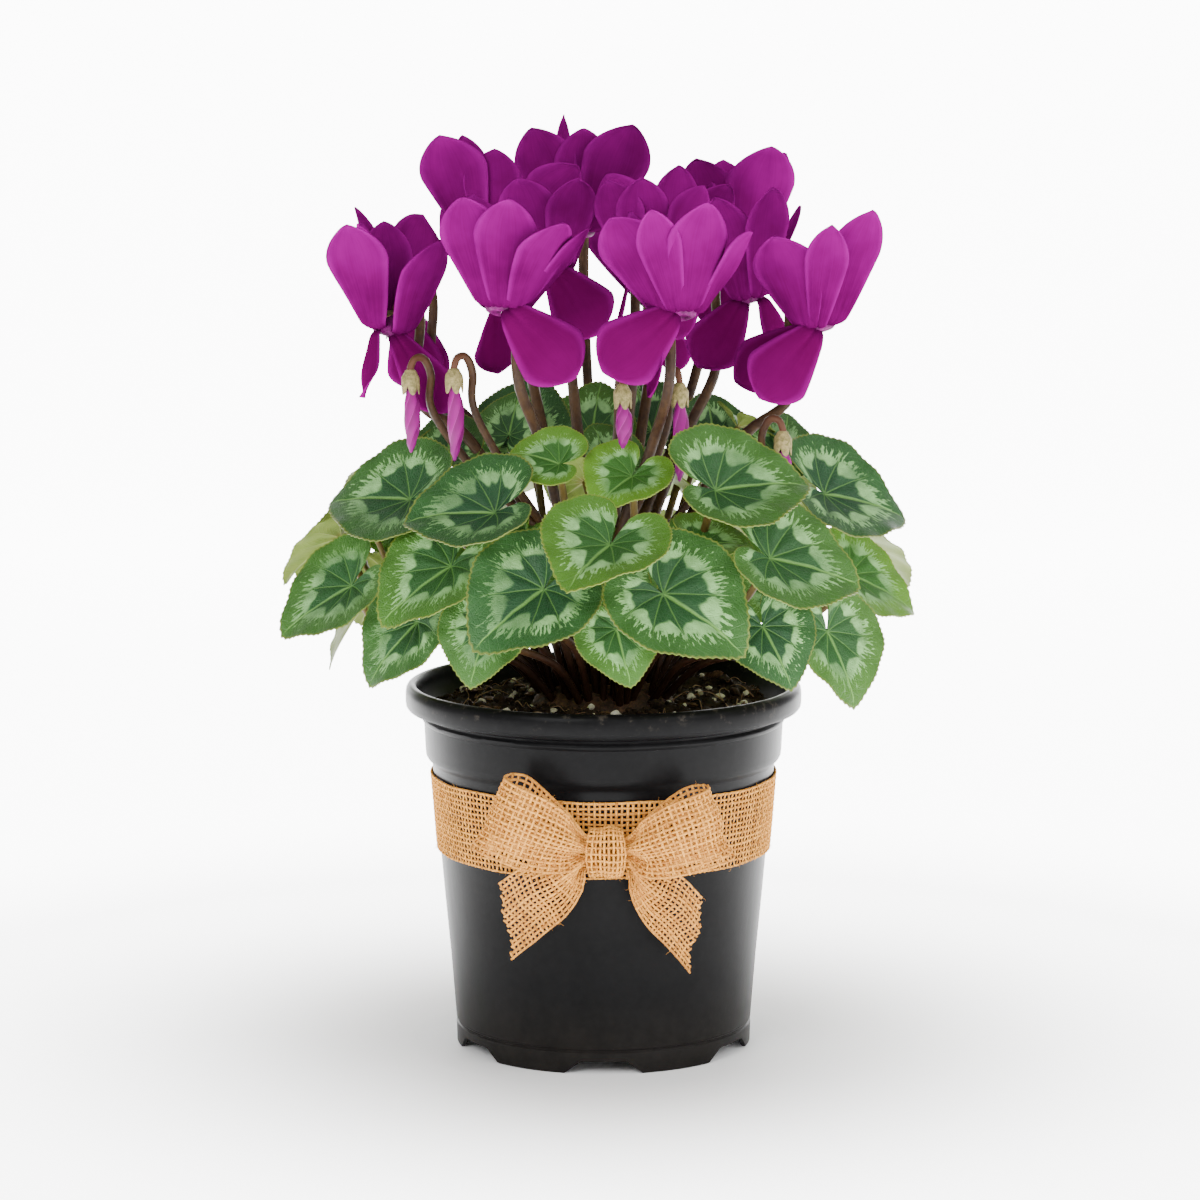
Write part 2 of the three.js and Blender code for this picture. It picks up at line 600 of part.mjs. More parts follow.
function budStalkSolid({ top, face }, i) {
  const outward = new THREE.Vector3(Math.cos(face * degrees), Math.sin(face * degrees), 0);
  const at = (out, rise) => new THREE.Vector3(...top).addScaledVector(outward, out).setZ(top[2] + rise);
  const hook = [at(-8.5, -14), at(-7.6, -2), at(-5, 3.4), at(-1.6, 3.6), at(0, 0), at(0, -1.5)];
  const bearing = Math.atan2(top[1], top[0]) + 0.3 * Math.sin(3 * i + 2);
  const base = new THREE.Vector3(8 * Math.cos(bearing), 8 * Math.sin(bearing), tuberTop - 7);
  const low = new THREE.Vector3(14 * Math.cos(bearing), 14 * Math.sin(bearing), crownHeight);
  const high = new THREE.Vector3(hook[0].x, hook[0].y, 0).multiplyScalar(0.72).setZ(fanHeight - 10);
  const stalk = stemSolid([base, low, high, ...hook].map((point) => point.toArray()), budStalkRadius, 4);
  const profile = [[0, 0], [1.9, 0], [calyxRadius, 0.35], [2.4, 0.8], [0, 1]];
  const points = profile.map(([r, share]) => new THREE.Vector2(r, (share - 1) * calyxLength));
  const calyx = new THREE.LatheGeometry(points, 6).rotateX(Math.PI / 2).translate(...top);
  return stalk.add(toSolid(calyx));
}

function stemsGeometry() {
  return toGeometry(joined([
    tuberSolid(0),
    ...leaves.map(petioleSolid),
    ...blooms.map(flowerStalkSolid),
    ...buds.map(budStalkSolid),
  ]));
}

// The ribbon: a band round the pot and a bow in front, whose loops and tails pass through a knot.
function bandGeometry() {
  const [low, high] = [bandMiddle - ribbonWidth / 2, bandMiddle + ribbonWidth / 2];
  const inner = (z) => wallRadius(z) + clearance;
  const profile = [
    [inner(low), low],
    [inner(low) + ribbonThickness, low],
    [inner(high) + ribbonThickness, high],
    [inner(high), high],
    [inner(low), low],
  ];
  const points = profile.map(([r, z]) => new THREE.Vector2(r, z));
  return new THREE.LatheGeometry(points, potSegments).rotateX(Math.PI / 2);
}

// A strip of ribbon: stations with a middle point and the half width vector from it to its upper edge.
function ribbonSolid(stations) {
  const points = [];
  for (const { middle, half } of stations) {
    const [centre, reach] = [new THREE.Vector3(...middle), new THREE.Vector3(...half)];
    for (const side of [-1, 0, 1]) points.push(centre.clone().addScaledVector(reach, -side));
  }
  const { triangles, border } = stripFaces(stations.length, false);
  return toSolid(bladeGeometry(points, triangles, border, ribbonThickness));
}

const knotMiddle = [1, -60.5, 75.5];
const knotWidth = 13;
const knotHalfHeight = 8.2;
const knotHalfDepth = 4.4;

const leftLoop = [
  { middle: [-3, -59.7, 75.8], half: [0, 0, 5] },
  { middle: [-7, -59.7, 76.6], half: [0.6, 0, 5] },
  { middle: [-15, -60.1, 81], half: [2, 0, 9.4] },
  { middle: [-27, -57.6, 87], half: [4, 0.5, 11.6] },
  { middle: [-34, -59.6, 88.8], half: [5, 0, 11.6] },
  { middle: [-36, -63.6, 88.6], half: [5.2, -0.5, 11.4] },
  { middle: [-32, -68.6, 87], half: [5, -1, 11.4] },
  { middle: [-22, -70.6, 83], half: [4, -1, 11] },
  { middle: [-12, -67.6, 79], half: [2, -0.6, 8.6] },
  { middle: [-7, -61.9, 76.6], half: [0.6, 0, 5] },
  { middle: [-3, -61.5, 75.8], half: [0, 0, 4.6] },
];
const rightLoop = [
  { middle: [5, -59.7, 75.4], half: [0, 0, 5] },
  { middle: [9, -59.7, 76], half: [-0.6, 0, 5] },
  { middle: [17, -60.1, 79], half: [-2, 0, 9.4] },
  { middle: [28, -57.1, 83.5], half: [-3, 0.5, 11.6] },
  { middle: [35, -58.6, 85.4], half: [-3.4, 0, 11.6] },
  { middle: [37, -62.6, 85.4], half: [-3.6, -0.5, 11.4] },
  { middle: [33, -67.6, 84], half: [-3.4, -1, 11.4] },
  { middle: [23, -70.1, 81], half: [-3, -1, 11] },
  { middle: [13, -67.6, 77.5], half: [-2, -0.6, 8.6] },
  { middle: [9, -61.9, 76], half: [-0.6, 0, 5] },
  { middle: [5, -61.5, 75.4], half: [0, 0, 4.6] },
];
const leftTail = [
  { middle: [-3, -60.7, 73.6], half: [-0.2, 0, 2] },
  { middle: [-6.6, -61.1, 72.4], half: [-0.6, 0, 2.6] },
  { middle: [-10, -63.9, 69.4], half: [-2.6, 0, 6.4] },
  { middle: [-15, -64.1, 65], half: [-3.4, 0, 9] },
  { middle: [-22, -62.1, 60.4], half: [-3.2, 0, 10.8] },
  { middle: [-31.4, -56.6, 51.8], half: [-2.1, 0, 12.4] },
];
const rightTail = [
  { middle: [5, -60.7, 73.4], half: [0.2, 0, 2] },
  { middle: [8.6, -61.1, 72], half: [0.6, 0, 2.6] },
  { middle: [11.6, -63.9, 67], half: [2.2, 0, 6] },
  { middle: [16, -64.1, 62], half: [3, 0, 8.6] },
  { middle: [23, -61.7, 56], half: [3, 0, 10.6] },
  { middle: [29.7, -56.6, 47.2], half: [2.4, 0, 12.2] },
];

const reversed = (stations) => stations.map(({ middle, half }) => (
  { middle, half: half.map((value) => -value) }
));

function bowGeometry() {
  const core = new THREE.BoxGeometry(knotWidth - 1, 3.6, 9).translate(...knotMiddle);
  return toGeometry(joined([
    toSolid(core),
    ribbonSolid(leftLoop),
    ribbonSolid(reversed(rightLoop)),
    ribbonSolid(leftTail),
    ribbonSolid(reversed(rightTail)),
  ]));
}

function knotGeometry() {
  const ring = (halfHeight, halfDepth, Path) => {
    const path = new Path();
    path.absellipse(0, 0, halfDepth, halfHeight, 0, 2 * Math.PI);
    return path;
  };
  const outline = ring(knotHalfHeight, knotHalfDepth, THREE.Shape);
  outline.holes.push(ring(knotHalfHeight - 1, knotHalfDepth - 1, THREE.Path));
  const wrap = new THREE.ExtrudeGeometry(outline, { depth: knotWidth, bevelEnabled: false, curveSegments: 8 });
  wrap.rotateX(Math.PI / 2).rotateZ(Math.PI / 2);
  wrap.translate(knotMiddle[0] - knotWidth / 2, knotMiddle[1], knotMiddle[2]);
  return toGeometry(toSolid(wrap));
}

addNode('pot', potGeometry(), black);
addNode('soil', soilGeometry(), peat);
addNode('stems', stemsGeometry(), brown);
leaves.forEach((leaf, i) => {
  const colours = paleLeaves.includes(i) ? lightGreen : green;
  addNode(`leaf_${String(i + 1).padStart(2, '0')}`, leafGeometry(leaf), colours);
});
blooms.forEach((bloom, i) => {
  addNode(`bloom_${String(i + 1).padStart(2, '0')}`, bloomGeometry(bloom), magenta);
});
buds.forEach((bud, i) => {
  addNode(`bud_${i + 1}`, budGeometry(bud), magenta);
});
addNode('ribbon_band', bandGeometry(), burlap);
addNode('bow', bowGeometry(), burlap);
addNode('bow_knot', knotGeometry(), burlap);

export default plant;
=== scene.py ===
import bpy
import json
import math
import random
import numpy as np
from mathutils import Matrix, Vector, noise

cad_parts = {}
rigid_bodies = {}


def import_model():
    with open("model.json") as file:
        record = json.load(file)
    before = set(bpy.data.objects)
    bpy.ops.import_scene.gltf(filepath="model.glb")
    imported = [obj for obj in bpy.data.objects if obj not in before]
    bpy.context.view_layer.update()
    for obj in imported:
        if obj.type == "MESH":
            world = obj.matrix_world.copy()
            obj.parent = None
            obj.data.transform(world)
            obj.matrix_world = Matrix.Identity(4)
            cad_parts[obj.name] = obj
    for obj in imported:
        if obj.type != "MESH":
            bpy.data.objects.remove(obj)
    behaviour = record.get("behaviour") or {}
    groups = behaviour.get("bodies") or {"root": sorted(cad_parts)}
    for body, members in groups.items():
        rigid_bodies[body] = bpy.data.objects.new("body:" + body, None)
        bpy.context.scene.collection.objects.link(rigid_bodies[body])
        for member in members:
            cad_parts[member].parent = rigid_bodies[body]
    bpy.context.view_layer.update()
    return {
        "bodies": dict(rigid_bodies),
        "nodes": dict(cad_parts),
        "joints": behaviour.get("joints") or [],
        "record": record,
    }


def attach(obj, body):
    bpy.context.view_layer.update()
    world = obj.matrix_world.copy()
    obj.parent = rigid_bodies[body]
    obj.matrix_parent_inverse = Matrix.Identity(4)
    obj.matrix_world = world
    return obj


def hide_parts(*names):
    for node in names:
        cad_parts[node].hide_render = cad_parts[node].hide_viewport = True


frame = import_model()
print("frame loaded")

mm = 0.001


# camera and studio
pixel = 0.0003275  # metres for each pixel, at the pot's axis
pictureWidth = 1200  # pixels
cameraSetup = {
    "distance": 1.4,
    "elevation": 8.5,  # degrees above level
    "target": (0, 0, 0.147),
    "sensor": 36,
    "shift": -3.5,  # pixels
    "clip": 0.05,
}
lightSetup = {
    "lights": [  # name, place, size and power
        ("keyLight", (-0.62, -1.2, 0.9), 0.7, 19),
        ("fillLight", (0.7, -1.35, 0.5), 1.2, 12),
        ("sideLight", (0.95, -0.5, 0.9), 0.8, 11),
    ],
    "aim": (0, 0, 0.15),
    "sky": (1.0, 1.0, 1.0), "skyStrength": 0.5,
}


def pointAt(item, target):
    item.rotation_euler = (Vector(target) - item.location).to_track_quat("-Z", "Y").to_euler()


def makeCamera(setup):
    rise = math.radians(setup["elevation"])
    target = Vector(setup["target"])
    place = target + setup["distance"] * Vector((0, -math.cos(rise), math.sin(rise)))
    bpy.ops.object.camera_add(location=place)
    camera = bpy.context.object
    camera.name = "camera"
    pointAt(camera, target)
    camera.data.sensor_width = setup["sensor"]
    camera.data.lens = setup["sensor"] * setup["distance"] / pixel / pictureWidth
    camera.data.shift_x = setup["shift"] / pictureWidth
    camera.data.clip_start = setup["clip"]
    bpy.context.scene.camera = camera


def makeLight(name, place, size, power):
    bpy.ops.object.light_add(type="AREA", location=place)
    light = bpy.context.object
    light.name = name
    light.data.size = size
    light.data.energy = power
    pointAt(light, lightSetup["aim"])


def makeSky(setup):
    world = bpy.data.worlds.new("studio")
    world.use_nodes = True
    background = world.node_tree.nodes["Background"].inputs
    background["Color"].default_value = (*setup["sky"], 1)
    background["Strength"].default_value = setup["skyStrength"]
    bpy.context.scene.world = world


makeCamera(cameraSetup)
for light in lightSetup["lights"]:
    makeLight(*light)
makeSky(lightSetup)
print("studio ready")


# helpers for meshes
def onlySelect(piece):
    bpy.ops.object.select_all(action="DESELECT")
    piece.select_set(True)
    bpy.context.view_layer.objects.active = piece


def applyModifier(piece, kind, **values):
    onlySelect(piece)
    bpy.ops.object.modifier_add(type=kind)
    modifier = piece.modifiers[-1]
    for key, value in values.items():
        setattr(modifier, key, value)
    bpy.ops.object.modifier_apply(modifier=modifier.name)


# Runs one mesh operation on the whole of a piece.
def editAll(piece, operation, **values):
    onlySelect(piece)
    bpy.ops.object.mode_set(mode="EDIT")
    bpy.ops.mesh.select_all(action="SELECT")
    operation(**values)
    bpy.ops.object.mode_set(mode="OBJECT")


def faceOutwards(piece):
    editAll(piece, bpy.ops.mesh.normals_make_consistent, inside=False)


def mergeDoubles(piece, distance=1e-6):
    editAll(piece, bpy.ops.mesh.remove_doubles, threshold=distance)


def newPiece(name, data):
    piece = bpy.data.objects.new(name, data)
    bpy.context.scene.collection.objects.link(piece)
    return piece


def paint(piece, material):
    piece.data.materials.append(bpy.data.materials[material])
    return piece


def smooth(piece, angle=180):
    onlySelect(piece)
    if angle >= 180:
        bpy.ops.object.shade_smooth()
    else:
        bpy.ops.object.shade_smooth_by_angle(angle=math.radians(angle))


def joinPieces(name, pieces):
    bpy.ops.object.select_all(action="DESELECT")
    for piece in pieces:
        piece.select_set(True)
    bpy.context.view_layer.objects.active = pieces[0]
    if len(pieces) > 1:
        bpy.ops.object.join()
    pieces[0].name = name
    return pieces[0]


# A grid primitive whose points go where place(u, v) says, with u and v from 0 to 1.
def shapedGrid(name, columns, rows, place):
    bpy.ops.mesh.primitive_grid_add(x_subdivisions=columns, y_subdivisions=rows, size=1)
    piece = bpy.context.object
    piece.name = name
    mesh = piece.data
    flat = np.empty(len(mesh.vertices) * 3)
    mesh.vertices.foreach_get("co", flat)
    points = np.array([place(x + 0.5, y + 0.5) for x, y, _ in flat.reshape(-1, 3)])
    mesh.vertices.foreach_set("co", points.ravel())
    mesh.update()
    return piece


# A shaped grid whose edges meet, so that it closes.
def closedGrid(name, columns, rows, place):
    piece = shapedGrid(name, columns, rows, place)
    mergeDoubles(piece)
    faceOutwards(piece)
    return piece


def polar(radius, bearing):
    return radius * math.cos(bearing), radius * math.sin(bearing)


def ringPoint(radius, bearing, height=0):
    return Vector((*polar(radius, bearing), height))


# A profile drawn by extruding one point, then spun round the Z axis.
def spunProfile(name, profile, steps, closed=False):
    bpy.ops.mesh.primitive_plane_add(size=1)
    piece = bpy.context.object
    piece.name = name
    bpy.ops.object.mode_set(mode="EDIT")
    bpy.ops.mesh.select_all(action="SELECT")
    bpy.ops.mesh.merge(type="CENTER")
    (radius, height), *others = profile
    bpy.ops.transform.translate(value=(radius, 0, height))
    for nextRadius, nextHeight in others:
        step = (nextRadius - radius, 0, nextHeight - height)
        bpy.ops.mesh.extrude_vertices_move(TRANSFORM_OT_translate={"value": step})
        radius, height = nextRadius, nextHeight
    bpy.ops.mesh.select_all(action="SELECT")
    if closed:
        bpy.ops.mesh.remove_doubles(threshold=1e-7)
    bpy.ops.mesh.spin(steps=steps, angle=2 * math.pi, center=(0, 0, 0), axis=(0, 0, 1))
    bpy.ops.object.mode_set(mode="OBJECT")
    mergeDoubles(piece, 1e-7)
    faceOutwards(piece)
    return piece


# Smooth route through points, after Catmull and Rom, with steps points for each stretch.
def smoothRoute(points, steps):
    knots = [np.array(point, float) for point in points]
    knots = [2 * knots[0] - knots[1], *knots, 2 * knots[-1] - knots[-2]]
    route = []
    for a, b, c, d in zip(knots, knots[1:], knots[2:], knots[3:]):
        for i in range(steps):
            t = i / steps
            route.append(0.5 * (2 * b + (c - a) * t + (2 * a - 5 * b + 4 * c - d) * t * t
                                + (3 * b - a - 3 * c + d) * t ** 3))
    route.append(knots[-2])
    return np.array(route)


# Many round strands as one bevelled curve, made a mesh. Level n of the bevel gives 2 n + 4 sides.
def strandPiece(name, strands, sides):
    curve = bpy.data.curves.new(name, "CURVE")
    curve.dimensions = "3D"
    curve.bevel_depth = 1
    curve.bevel_resolution = sides // 2 - 2
    curve.use_fill_caps = True
    for points, radii in strands:
        spline = curve.splines.new("POLY")
        spline.points.add(len(points) - 1)
        spline.points.foreach_set("co", np.column_stack([points, np.ones(len(points))]).ravel())
        spline.points.foreach_set("radius", radii)
    onlySelect(newPiece(name, curve))
    bpy.ops.object.convert(target="MESH")
    piece = bpy.context.object
    smooth(piece)
    return piece


# Copies of one small mesh: each has a place, a size along three axes and a turn.
def scattered(name, base, spots):
    points = np.array([vertex.co for vertex in base.data.vertices])
    faces = np.array([polygon.vertices[:] for polygon in base.data.polygons])
    allPoints, allFaces = [], []
    for i, (place, size, turn) in enumerate(spots):
        turned = (points * np.array(size)) @ np.array(turn.to_matrix()).T
        allPoints.append(turned + np.array(place))
        allFaces.append(faces + i * len(points))
    mesh = bpy.data.meshes.new(name)
    mesh.from_pydata(np.concatenate(allPoints).tolist(), [], np.concatenate(allFaces).tolist())
    piece = newPiece(name, mesh)
    smooth(piece, 50)
    return piece


def settle(piece, slot, *nodes):
    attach(piece, "root")
    if nodes:
        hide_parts(*nodes)
    return piece


# helpers for materials
# A value in a node tree. Reckoning with it adds nodes to the tree.
class Field:
    def __init__(self, sheet, socket):
        self.sheet = sheet
        self.socket = socket

    def __add__(self, other):
        return self.sheet.math("ADD", self, other)

    def __sub__(self, other):
        return self.sheet.math("SUBTRACT", self, other)

    def __rsub__(self, other):
        return self.sheet.math("SUBTRACT", other, self)

    def __mul__(self, other):
        return self.sheet.math("MULTIPLY", self, other)

    def __truediv__(self, other):
        return self.sheet.math("DIVIDE", self, other)

    # held between 0 and 1
    def clamped(self):
        self.socket.node.use_clamp = True
        return self

    # 0 below low and 1 above high, with a soft passage
    def step(self, low, high):
        inputs = {"Value": self, "From Min": low, "From Max": high}
        return self.sheet.value("ShaderNodeMapRange", inputs, interpolation_type="SMOOTHSTEP")

    # low where the value is 0 and high where it is 1
    def between(self, low, high):
        return self.sheet.value("ShaderNodeMapRange", {"Value": self, "To Min": low, "To Max": high})


class NodeSheet:
    def __init__(self, tree):
        self.tree = tree

    # Links an input to a field, or gives it a plain value. Colours come without their alpha.
    def feed(self, socket, value):
        if isinstance(value, Field):
            self.tree.links.new(value.socket, socket)
        elif socket.type == "RGBA":
            socket.default_value = (*value, 1)
        else:
            socket.default_value = value

    def add(self, kind, inputs=None, **settings):
        node = self.tree.nodes.new(kind)
        for key, value in settings.items():
            setattr(node, key, value)
        for key, value in (inputs or {}).items():
            self.feed(node.inputs[key], value)
        return node

    def value(self, kind, inputs=None, output=0, **settings):
        return Field(self, self.add(kind, inputs, **settings).outputs[output])

    def fields(self, sockets):
        return {socket.name: Field(self, socket) for socket in sockets}

    def group(self, name, inputs):
        return self.fields(self.add("ShaderNodeGroup", inputs, node_tree=bpy.data.node_groups[name]).outputs)

    def math(self, operation, *values):
        return self.value("ShaderNodeMath", dict(enumerate(values)), operation=operation)

    def mix(self, factor, a, b):
        return self.value("ShaderNodeMix", {0: factor, 6: a, 7: b}, 2, data_type="RGBA")

    def noise(self, vector, scale, detail=3, roughness=0.5):
        inputs = {"Vector": vector, "Scale": scale, "Detail": detail, "Roughness": roughness}
        return self.value("ShaderNodeTexNoise", inputs, "Fac")

    def split(self, vector):
        return [Field(self, output) for output in self.add("ShaderNodeSeparateXYZ", {0: vector}).outputs]

    def combine(self, x, y, z):
        return self.value("ShaderNodeCombineXYZ", {0: x, 1: y, 2: z})

    def objectPlace(self):
        return self.value("ShaderNodeTexCoord", output="Object")

    def uv(self, name):
        return self.value("ShaderNodeUVMap", uv_map=name)

    def attribute(self, name):
        return self.value("ShaderNodeAttribute", output="Fac", attribute_name=name)


class Material(NodeSheet):
    def __init__(self, name, roughness=0.5, specular=0.5):
        material = bpy.data.materials.new(name)
        material.use_nodes = True
        super().__init__(material.node_tree)
        self.shader = self.tree.nodes["Principled BSDF"].inputs
        self.feed(self.shader["Roughness"], roughness)
        self.feed(self.shader["Specular IOR Level"], specular)

    def dress(self, colour, height, relief, depth):
        bump = self.value("ShaderNodeBump", {"Height": height, "Strength": relief, "Distance": depth})
        self.feed(self.shader["Base Color"], colour)
        self.feed(self.shader["Normal"], bump)


def newGroup(name, inputs, outputs):
    tree = bpy.data.node_groups.new(name, "ShaderNodeTree")
    kinds = {"vector": "NodeSocketVector", "colour": "NodeSocketColor", "value": "NodeSocketFloat"}
    for direction, sockets in (("INPUT", inputs), ("OUTPUT", outputs)):
        for socket, kind in sockets.items():
            tree.interface.new_socket(socket, in_out=direction, socket_type=kinds[kind])
    sheet = NodeSheet(tree)
    return sheet, sheet.fields(sheet.add("NodeGroupInput").outputs), sheet.add("NodeGroupOutput").inputs


# Uneven tone and fine grain, for surfaces that aren't of one colour.
def makeUnevenTone():
    sheet, given, result = newGroup(
        "unevenTone",
        {"Place": "vector", "Colour": "colour", "Second": "colour", "Scale": "value", "Grain": "value"},
        {"Colour": "colour", "Height": "value"},
    )
    broad = sheet.noise(given["Place"], given["Scale"], 4, 0.6)
    fine = sheet.noise(given["Place"], given["Scale"] * given["Grain"], 5, 0.65)
    mottle = (broad * 0.65 + fine * 0.35).step(0.36, 0.64)
    sheet.feed(result["Colour"], sheet.mix(mottle, given["Colour"], given["Second"]))
    sheet.feed(result["Height"], fine)


def unevenTone(sheet, colour, second, scale, grain):
    look = {"Colour": colour, "Second": second, "Scale": scale, "Grain": grain}
    return sheet.group("unevenTone", {"Place": sheet.objectPlace(), **look})


# A material with nothing but an uneven tone and a relief of the same grain.
def mottledMaterial(name, colour, second, scale, grain, relief, depth, roughness, specular=0.5):
    sheet = Material(name, roughness, specular)
    tone = unevenTone(sheet, colour, second, scale, grain)
    sheet.dress(tone["Colour"], tone["Height"], relief, depth)


makeUnevenTone()


# the pot
potShape = {
    "outside": [  # radius and height in mm, from the foot up
        (48.1, 0), (48.55, 0.35), (48.75, 6.2), (48.65, 6.9), (48.3, 7.3), (48.35, 7.8), (48.75, 8.2),
        (50.5, 30), (52.4, 50), (54.3, 72), (56.2, 92.6), (56.3, 93.6), (56.7, 94.5), (57.8, 95.6),
        (58.35, 96.6), (58.5, 98), (58.75, 103), (58.95, 107.4), (59.3, 107.8), (59.55, 108.3),
        (59.55, 109), (59.3, 109.4), (59.1, 109.9), (59.5, 110.6), (60.6, 111.1), (62.8, 111.5),
        (64.2, 112), (64.8, 112.8), (65, 113.9), (65, 117), (64.8, 118.4), (64.3, 119.3), (63.5, 119.9),
        (62.6, 120), (61.9, 119.7), (61.5, 119),
    ],
    "inside": [
        (61.2, 117), (60.6, 114), (58.6, 111.4), (57.5, 110), (57.2, 104), (56.9, 97.5), (54.8, 93.8),
        (50.9, 50), (47.2, 8.6), (46.4, 7), (44.8, 6.6), (20, 6.6), (0, 6.6), (0, 5), (30, 5),
        (45.8, 5), (46.6, 4.6), (46.9, 3.8), (47, 0.3), (47.2, 0), (48.1, 0),
    ],
    "steps": 144,
    "notches": 6, "notchHeight": 4.3, "notchTop": 14.7, "notchBottom": 30.7,
    "notchBelow": 2, "notchLength": 12, "notchReach": 46, "notchRounding": 0.7,
    "drains": 4, "drainRadius": 5, "drainCircle": 28, "drainHeight": 5.5, "drainDepth": 6,
    "sharpAngle": 32,
}
potLook = {
    "dark": (0.002, 0.002, 0.0022), "light": (0.0042, 0.0042, 0.0045), "dust": (0.09, 0.075, 0.06),
    "footDust": 0.16, "footDustTop": 0.03, "rimDust": 0.28, "rimDustFrom": 0.112, "rimDustTo": 0.12,
    "specular": 0.06, "smoothest": 0.27, "roughest": 0.44, "relief": 0.25, "depth": 0.0006,
}


def makePot(shape):
    profile = [(r * mm, z * mm) for r, z in shape["outside"] + shape["inside"]]
    pot = spunProfile("nurseryPot", profile, shape["steps"], closed=True)
    cutters = []
    for i in range(shape["notches"]):
        bpy.ops.mesh.primitive_cube_add(size=1)
        cutter = bpy.context.object
        for vertex in cutter.data.vertices:
            x, y, z = vertex.co
            width = shape["notchTop"] if z > 0 else shape["notchBottom"]
            height = shape["notchHeight"] if z > 0 else -shape["notchBelow"]
            vertex.co = (x * width * mm, (y * shape["notchLength"] - shape["notchReach"]) * mm, height * mm)
        cutter.data.transform(Matrix.Rotation(i * 2 * math.pi / shape["notches"], 4, "Z"))
        applyModifier(cutter, "BEVEL", width=shape["notchRounding"] * mm, segments=3)
        cutters.append(cutter)
    for i in range(shape["drains"]):
        turn = (i + 0.5) * 2 * math.pi / shape["drains"]
        place = (*polar(shape["drainCircle"] * mm, turn), shape["drainHeight"] * mm)
        bpy.ops.mesh.primitive_cylinder_add(vertices=40, radius=shape["drainRadius"] * mm,
                                            depth=shape["drainDepth"] * mm, location=place)
        onlySelect(bpy.context.object)
        bpy.ops.object.transform_apply(location=True)
        cutters.append(bpy.context.object)
    cutter = joinPieces("potCutter", cutters)
    applyModifier(pot, "BOOLEAN", operation="DIFFERENCE", solver="EXACT", object=cutter)
    bpy.data.objects.remove(cutter)
    smooth(pot, shape["sharpAngle"])
    return pot


# Near black plastic with dust at the foot and dried soil on the rim.
def makePotMaterial(look):
    sheet = Material("blackPlastic", specular=look["specular"])
    place = sheet.objectPlace()
    x, y, z = sheet.split(place)
    tone = unevenTone(sheet, look["dark"], look["light"], 26, 14)
    foot = (z.step(look["footDustTop"], 0.0) * sheet.noise(place, 90, 6, 0.7)).clamped()
    specks = sheet.noise(place, 240, 5, 0.7).step(0.56, 0.68)
    rim = z.step(look["rimDustFrom"], look["rimDustTo"]) * specks
    dirt = (foot * look["footDust"] + rim * look["rimDust"]).clamped()
    smear = sheet.noise(sheet.combine(x * 40, y * 40, z * 9), 1, 4, 0.55)
    rough = smear.between(look["smoothest"], look["roughest"]) + dirt * 0.5
    sheet.feed(sheet.shader["Roughness"], rough.clamped())
    waves = smear + sheet.noise(place, 900, 4, 0.6) * 0.12
    sheet.dress(sheet.mix(dirt, tone["Colour"], look["dust"]), waves, look["relief"], look["depth"])


makePotMaterial(potLook)
pot = paint(makePot(potShape), "blackPlastic")
settle(pot, "pot_plastic", "pot")
print("pot made", len(pot.data.polygons))


# the potting soil
soilShape = {
    "top": 112.5, "edge": 56.9, "rings": 84, "turns": 220, "sharpAngle": 60,
    # Radius and height in mm, from the middle of the underside up the pot's wall.
    "wall": [(0, 6.9), (46.4, 6.9), (50.4, 50), (54.3, 93.5), (56.2, 100), (56.9, 109.6)],
    "roots": 70, "rootSteps": 6, "looseReach": 56,
    "seed": 11,
    # Name, detail, count, least and greatest size in mm, flatness, how deep it sinks and two colours.
    "kinds": [
        ("peatCrumbs", 1, 1500, 0.6, 2.1, 0.7, 0.3, (0.008, 0.0045, 0.003), (0.05, 0.026, 0.014)),
        ("peatClods", 2, 60, 2.2, 5.2, 0.6, 0.45, (0.009, 0.005, 0.003), (0.045, 0.024, 0.013)),
        ("perliteBits", 2, 85, 1.1, 3.0, 0.8, 0.25, (0.55, 0.5, 0.4), (0.82, 0.78, 0.68)),
        ("barkChips", 2, 46, 2.6, 6.5, 0.28, 0.1, (0.05, 0.024, 0.011), (0.16, 0.085, 0.04)),
    ],
}
peatLook = (0.006, 0.0035, 0.002), (0.035, 0.018, 0.01), 320
rootLook = (0.12, 0.06, 0.03), (0.38, 0.26, 0.16), 60


def soilLump(x, y):
    waves = math.sin(0.21 * x + 1.3) * math.cos(0.17 * y - 0.4) + 0.6 * math.sin(0.33 * y + 0.27 * x)
    return 0.9 * waves + 2.2 * math.exp(-((x - 42) ** 2 + (y - 30) ** 2) / 260)


# Height in mm of the soil's surface above the pot's foot.
def soilHeight(x, y, detail=True):
    reach = math.hypot(x, y)
    level = soilShape["top"] + 1.5 * (1 - min(1, reach / 50)) - 1.6 * max(0, (reach - 48) / 9) ** 2
    level += soilLump(x, y)
    if detail:
        point = Vector((x * 0.16, y * 0.16, 3.1))
        level += 1.5 * noise.fractal(point, 0.7, 2.1, 5)
        level += 0.7 * abs(noise.noise(Vector((x * 0.9, y * 0.9, 7.7))))
    return level


def makeSoil(shape):
    wall = shape["wall"]

    def place(u, v):
        turn = 2 * math.pi * u
        ring = v * shape["rings"]
        if ring < len(wall):
            radius, height = wall[min(int(round(ring)), len(wall) - 1)]
            x, y = polar(radius, turn)
        else:
            share = 1 - (ring - len(wall)) / (shape["rings"] - len(wall))
            x, y = polar(shape["edge"] * share, turn)
            height = soilHeight(x, y)
        return x * mm, y * mm, height * mm

    soil = closedGrid("pottingSoil", shape["turns"], shape["rings"], place)
    smooth(soil, shape["sharpAngle"])
    return soil


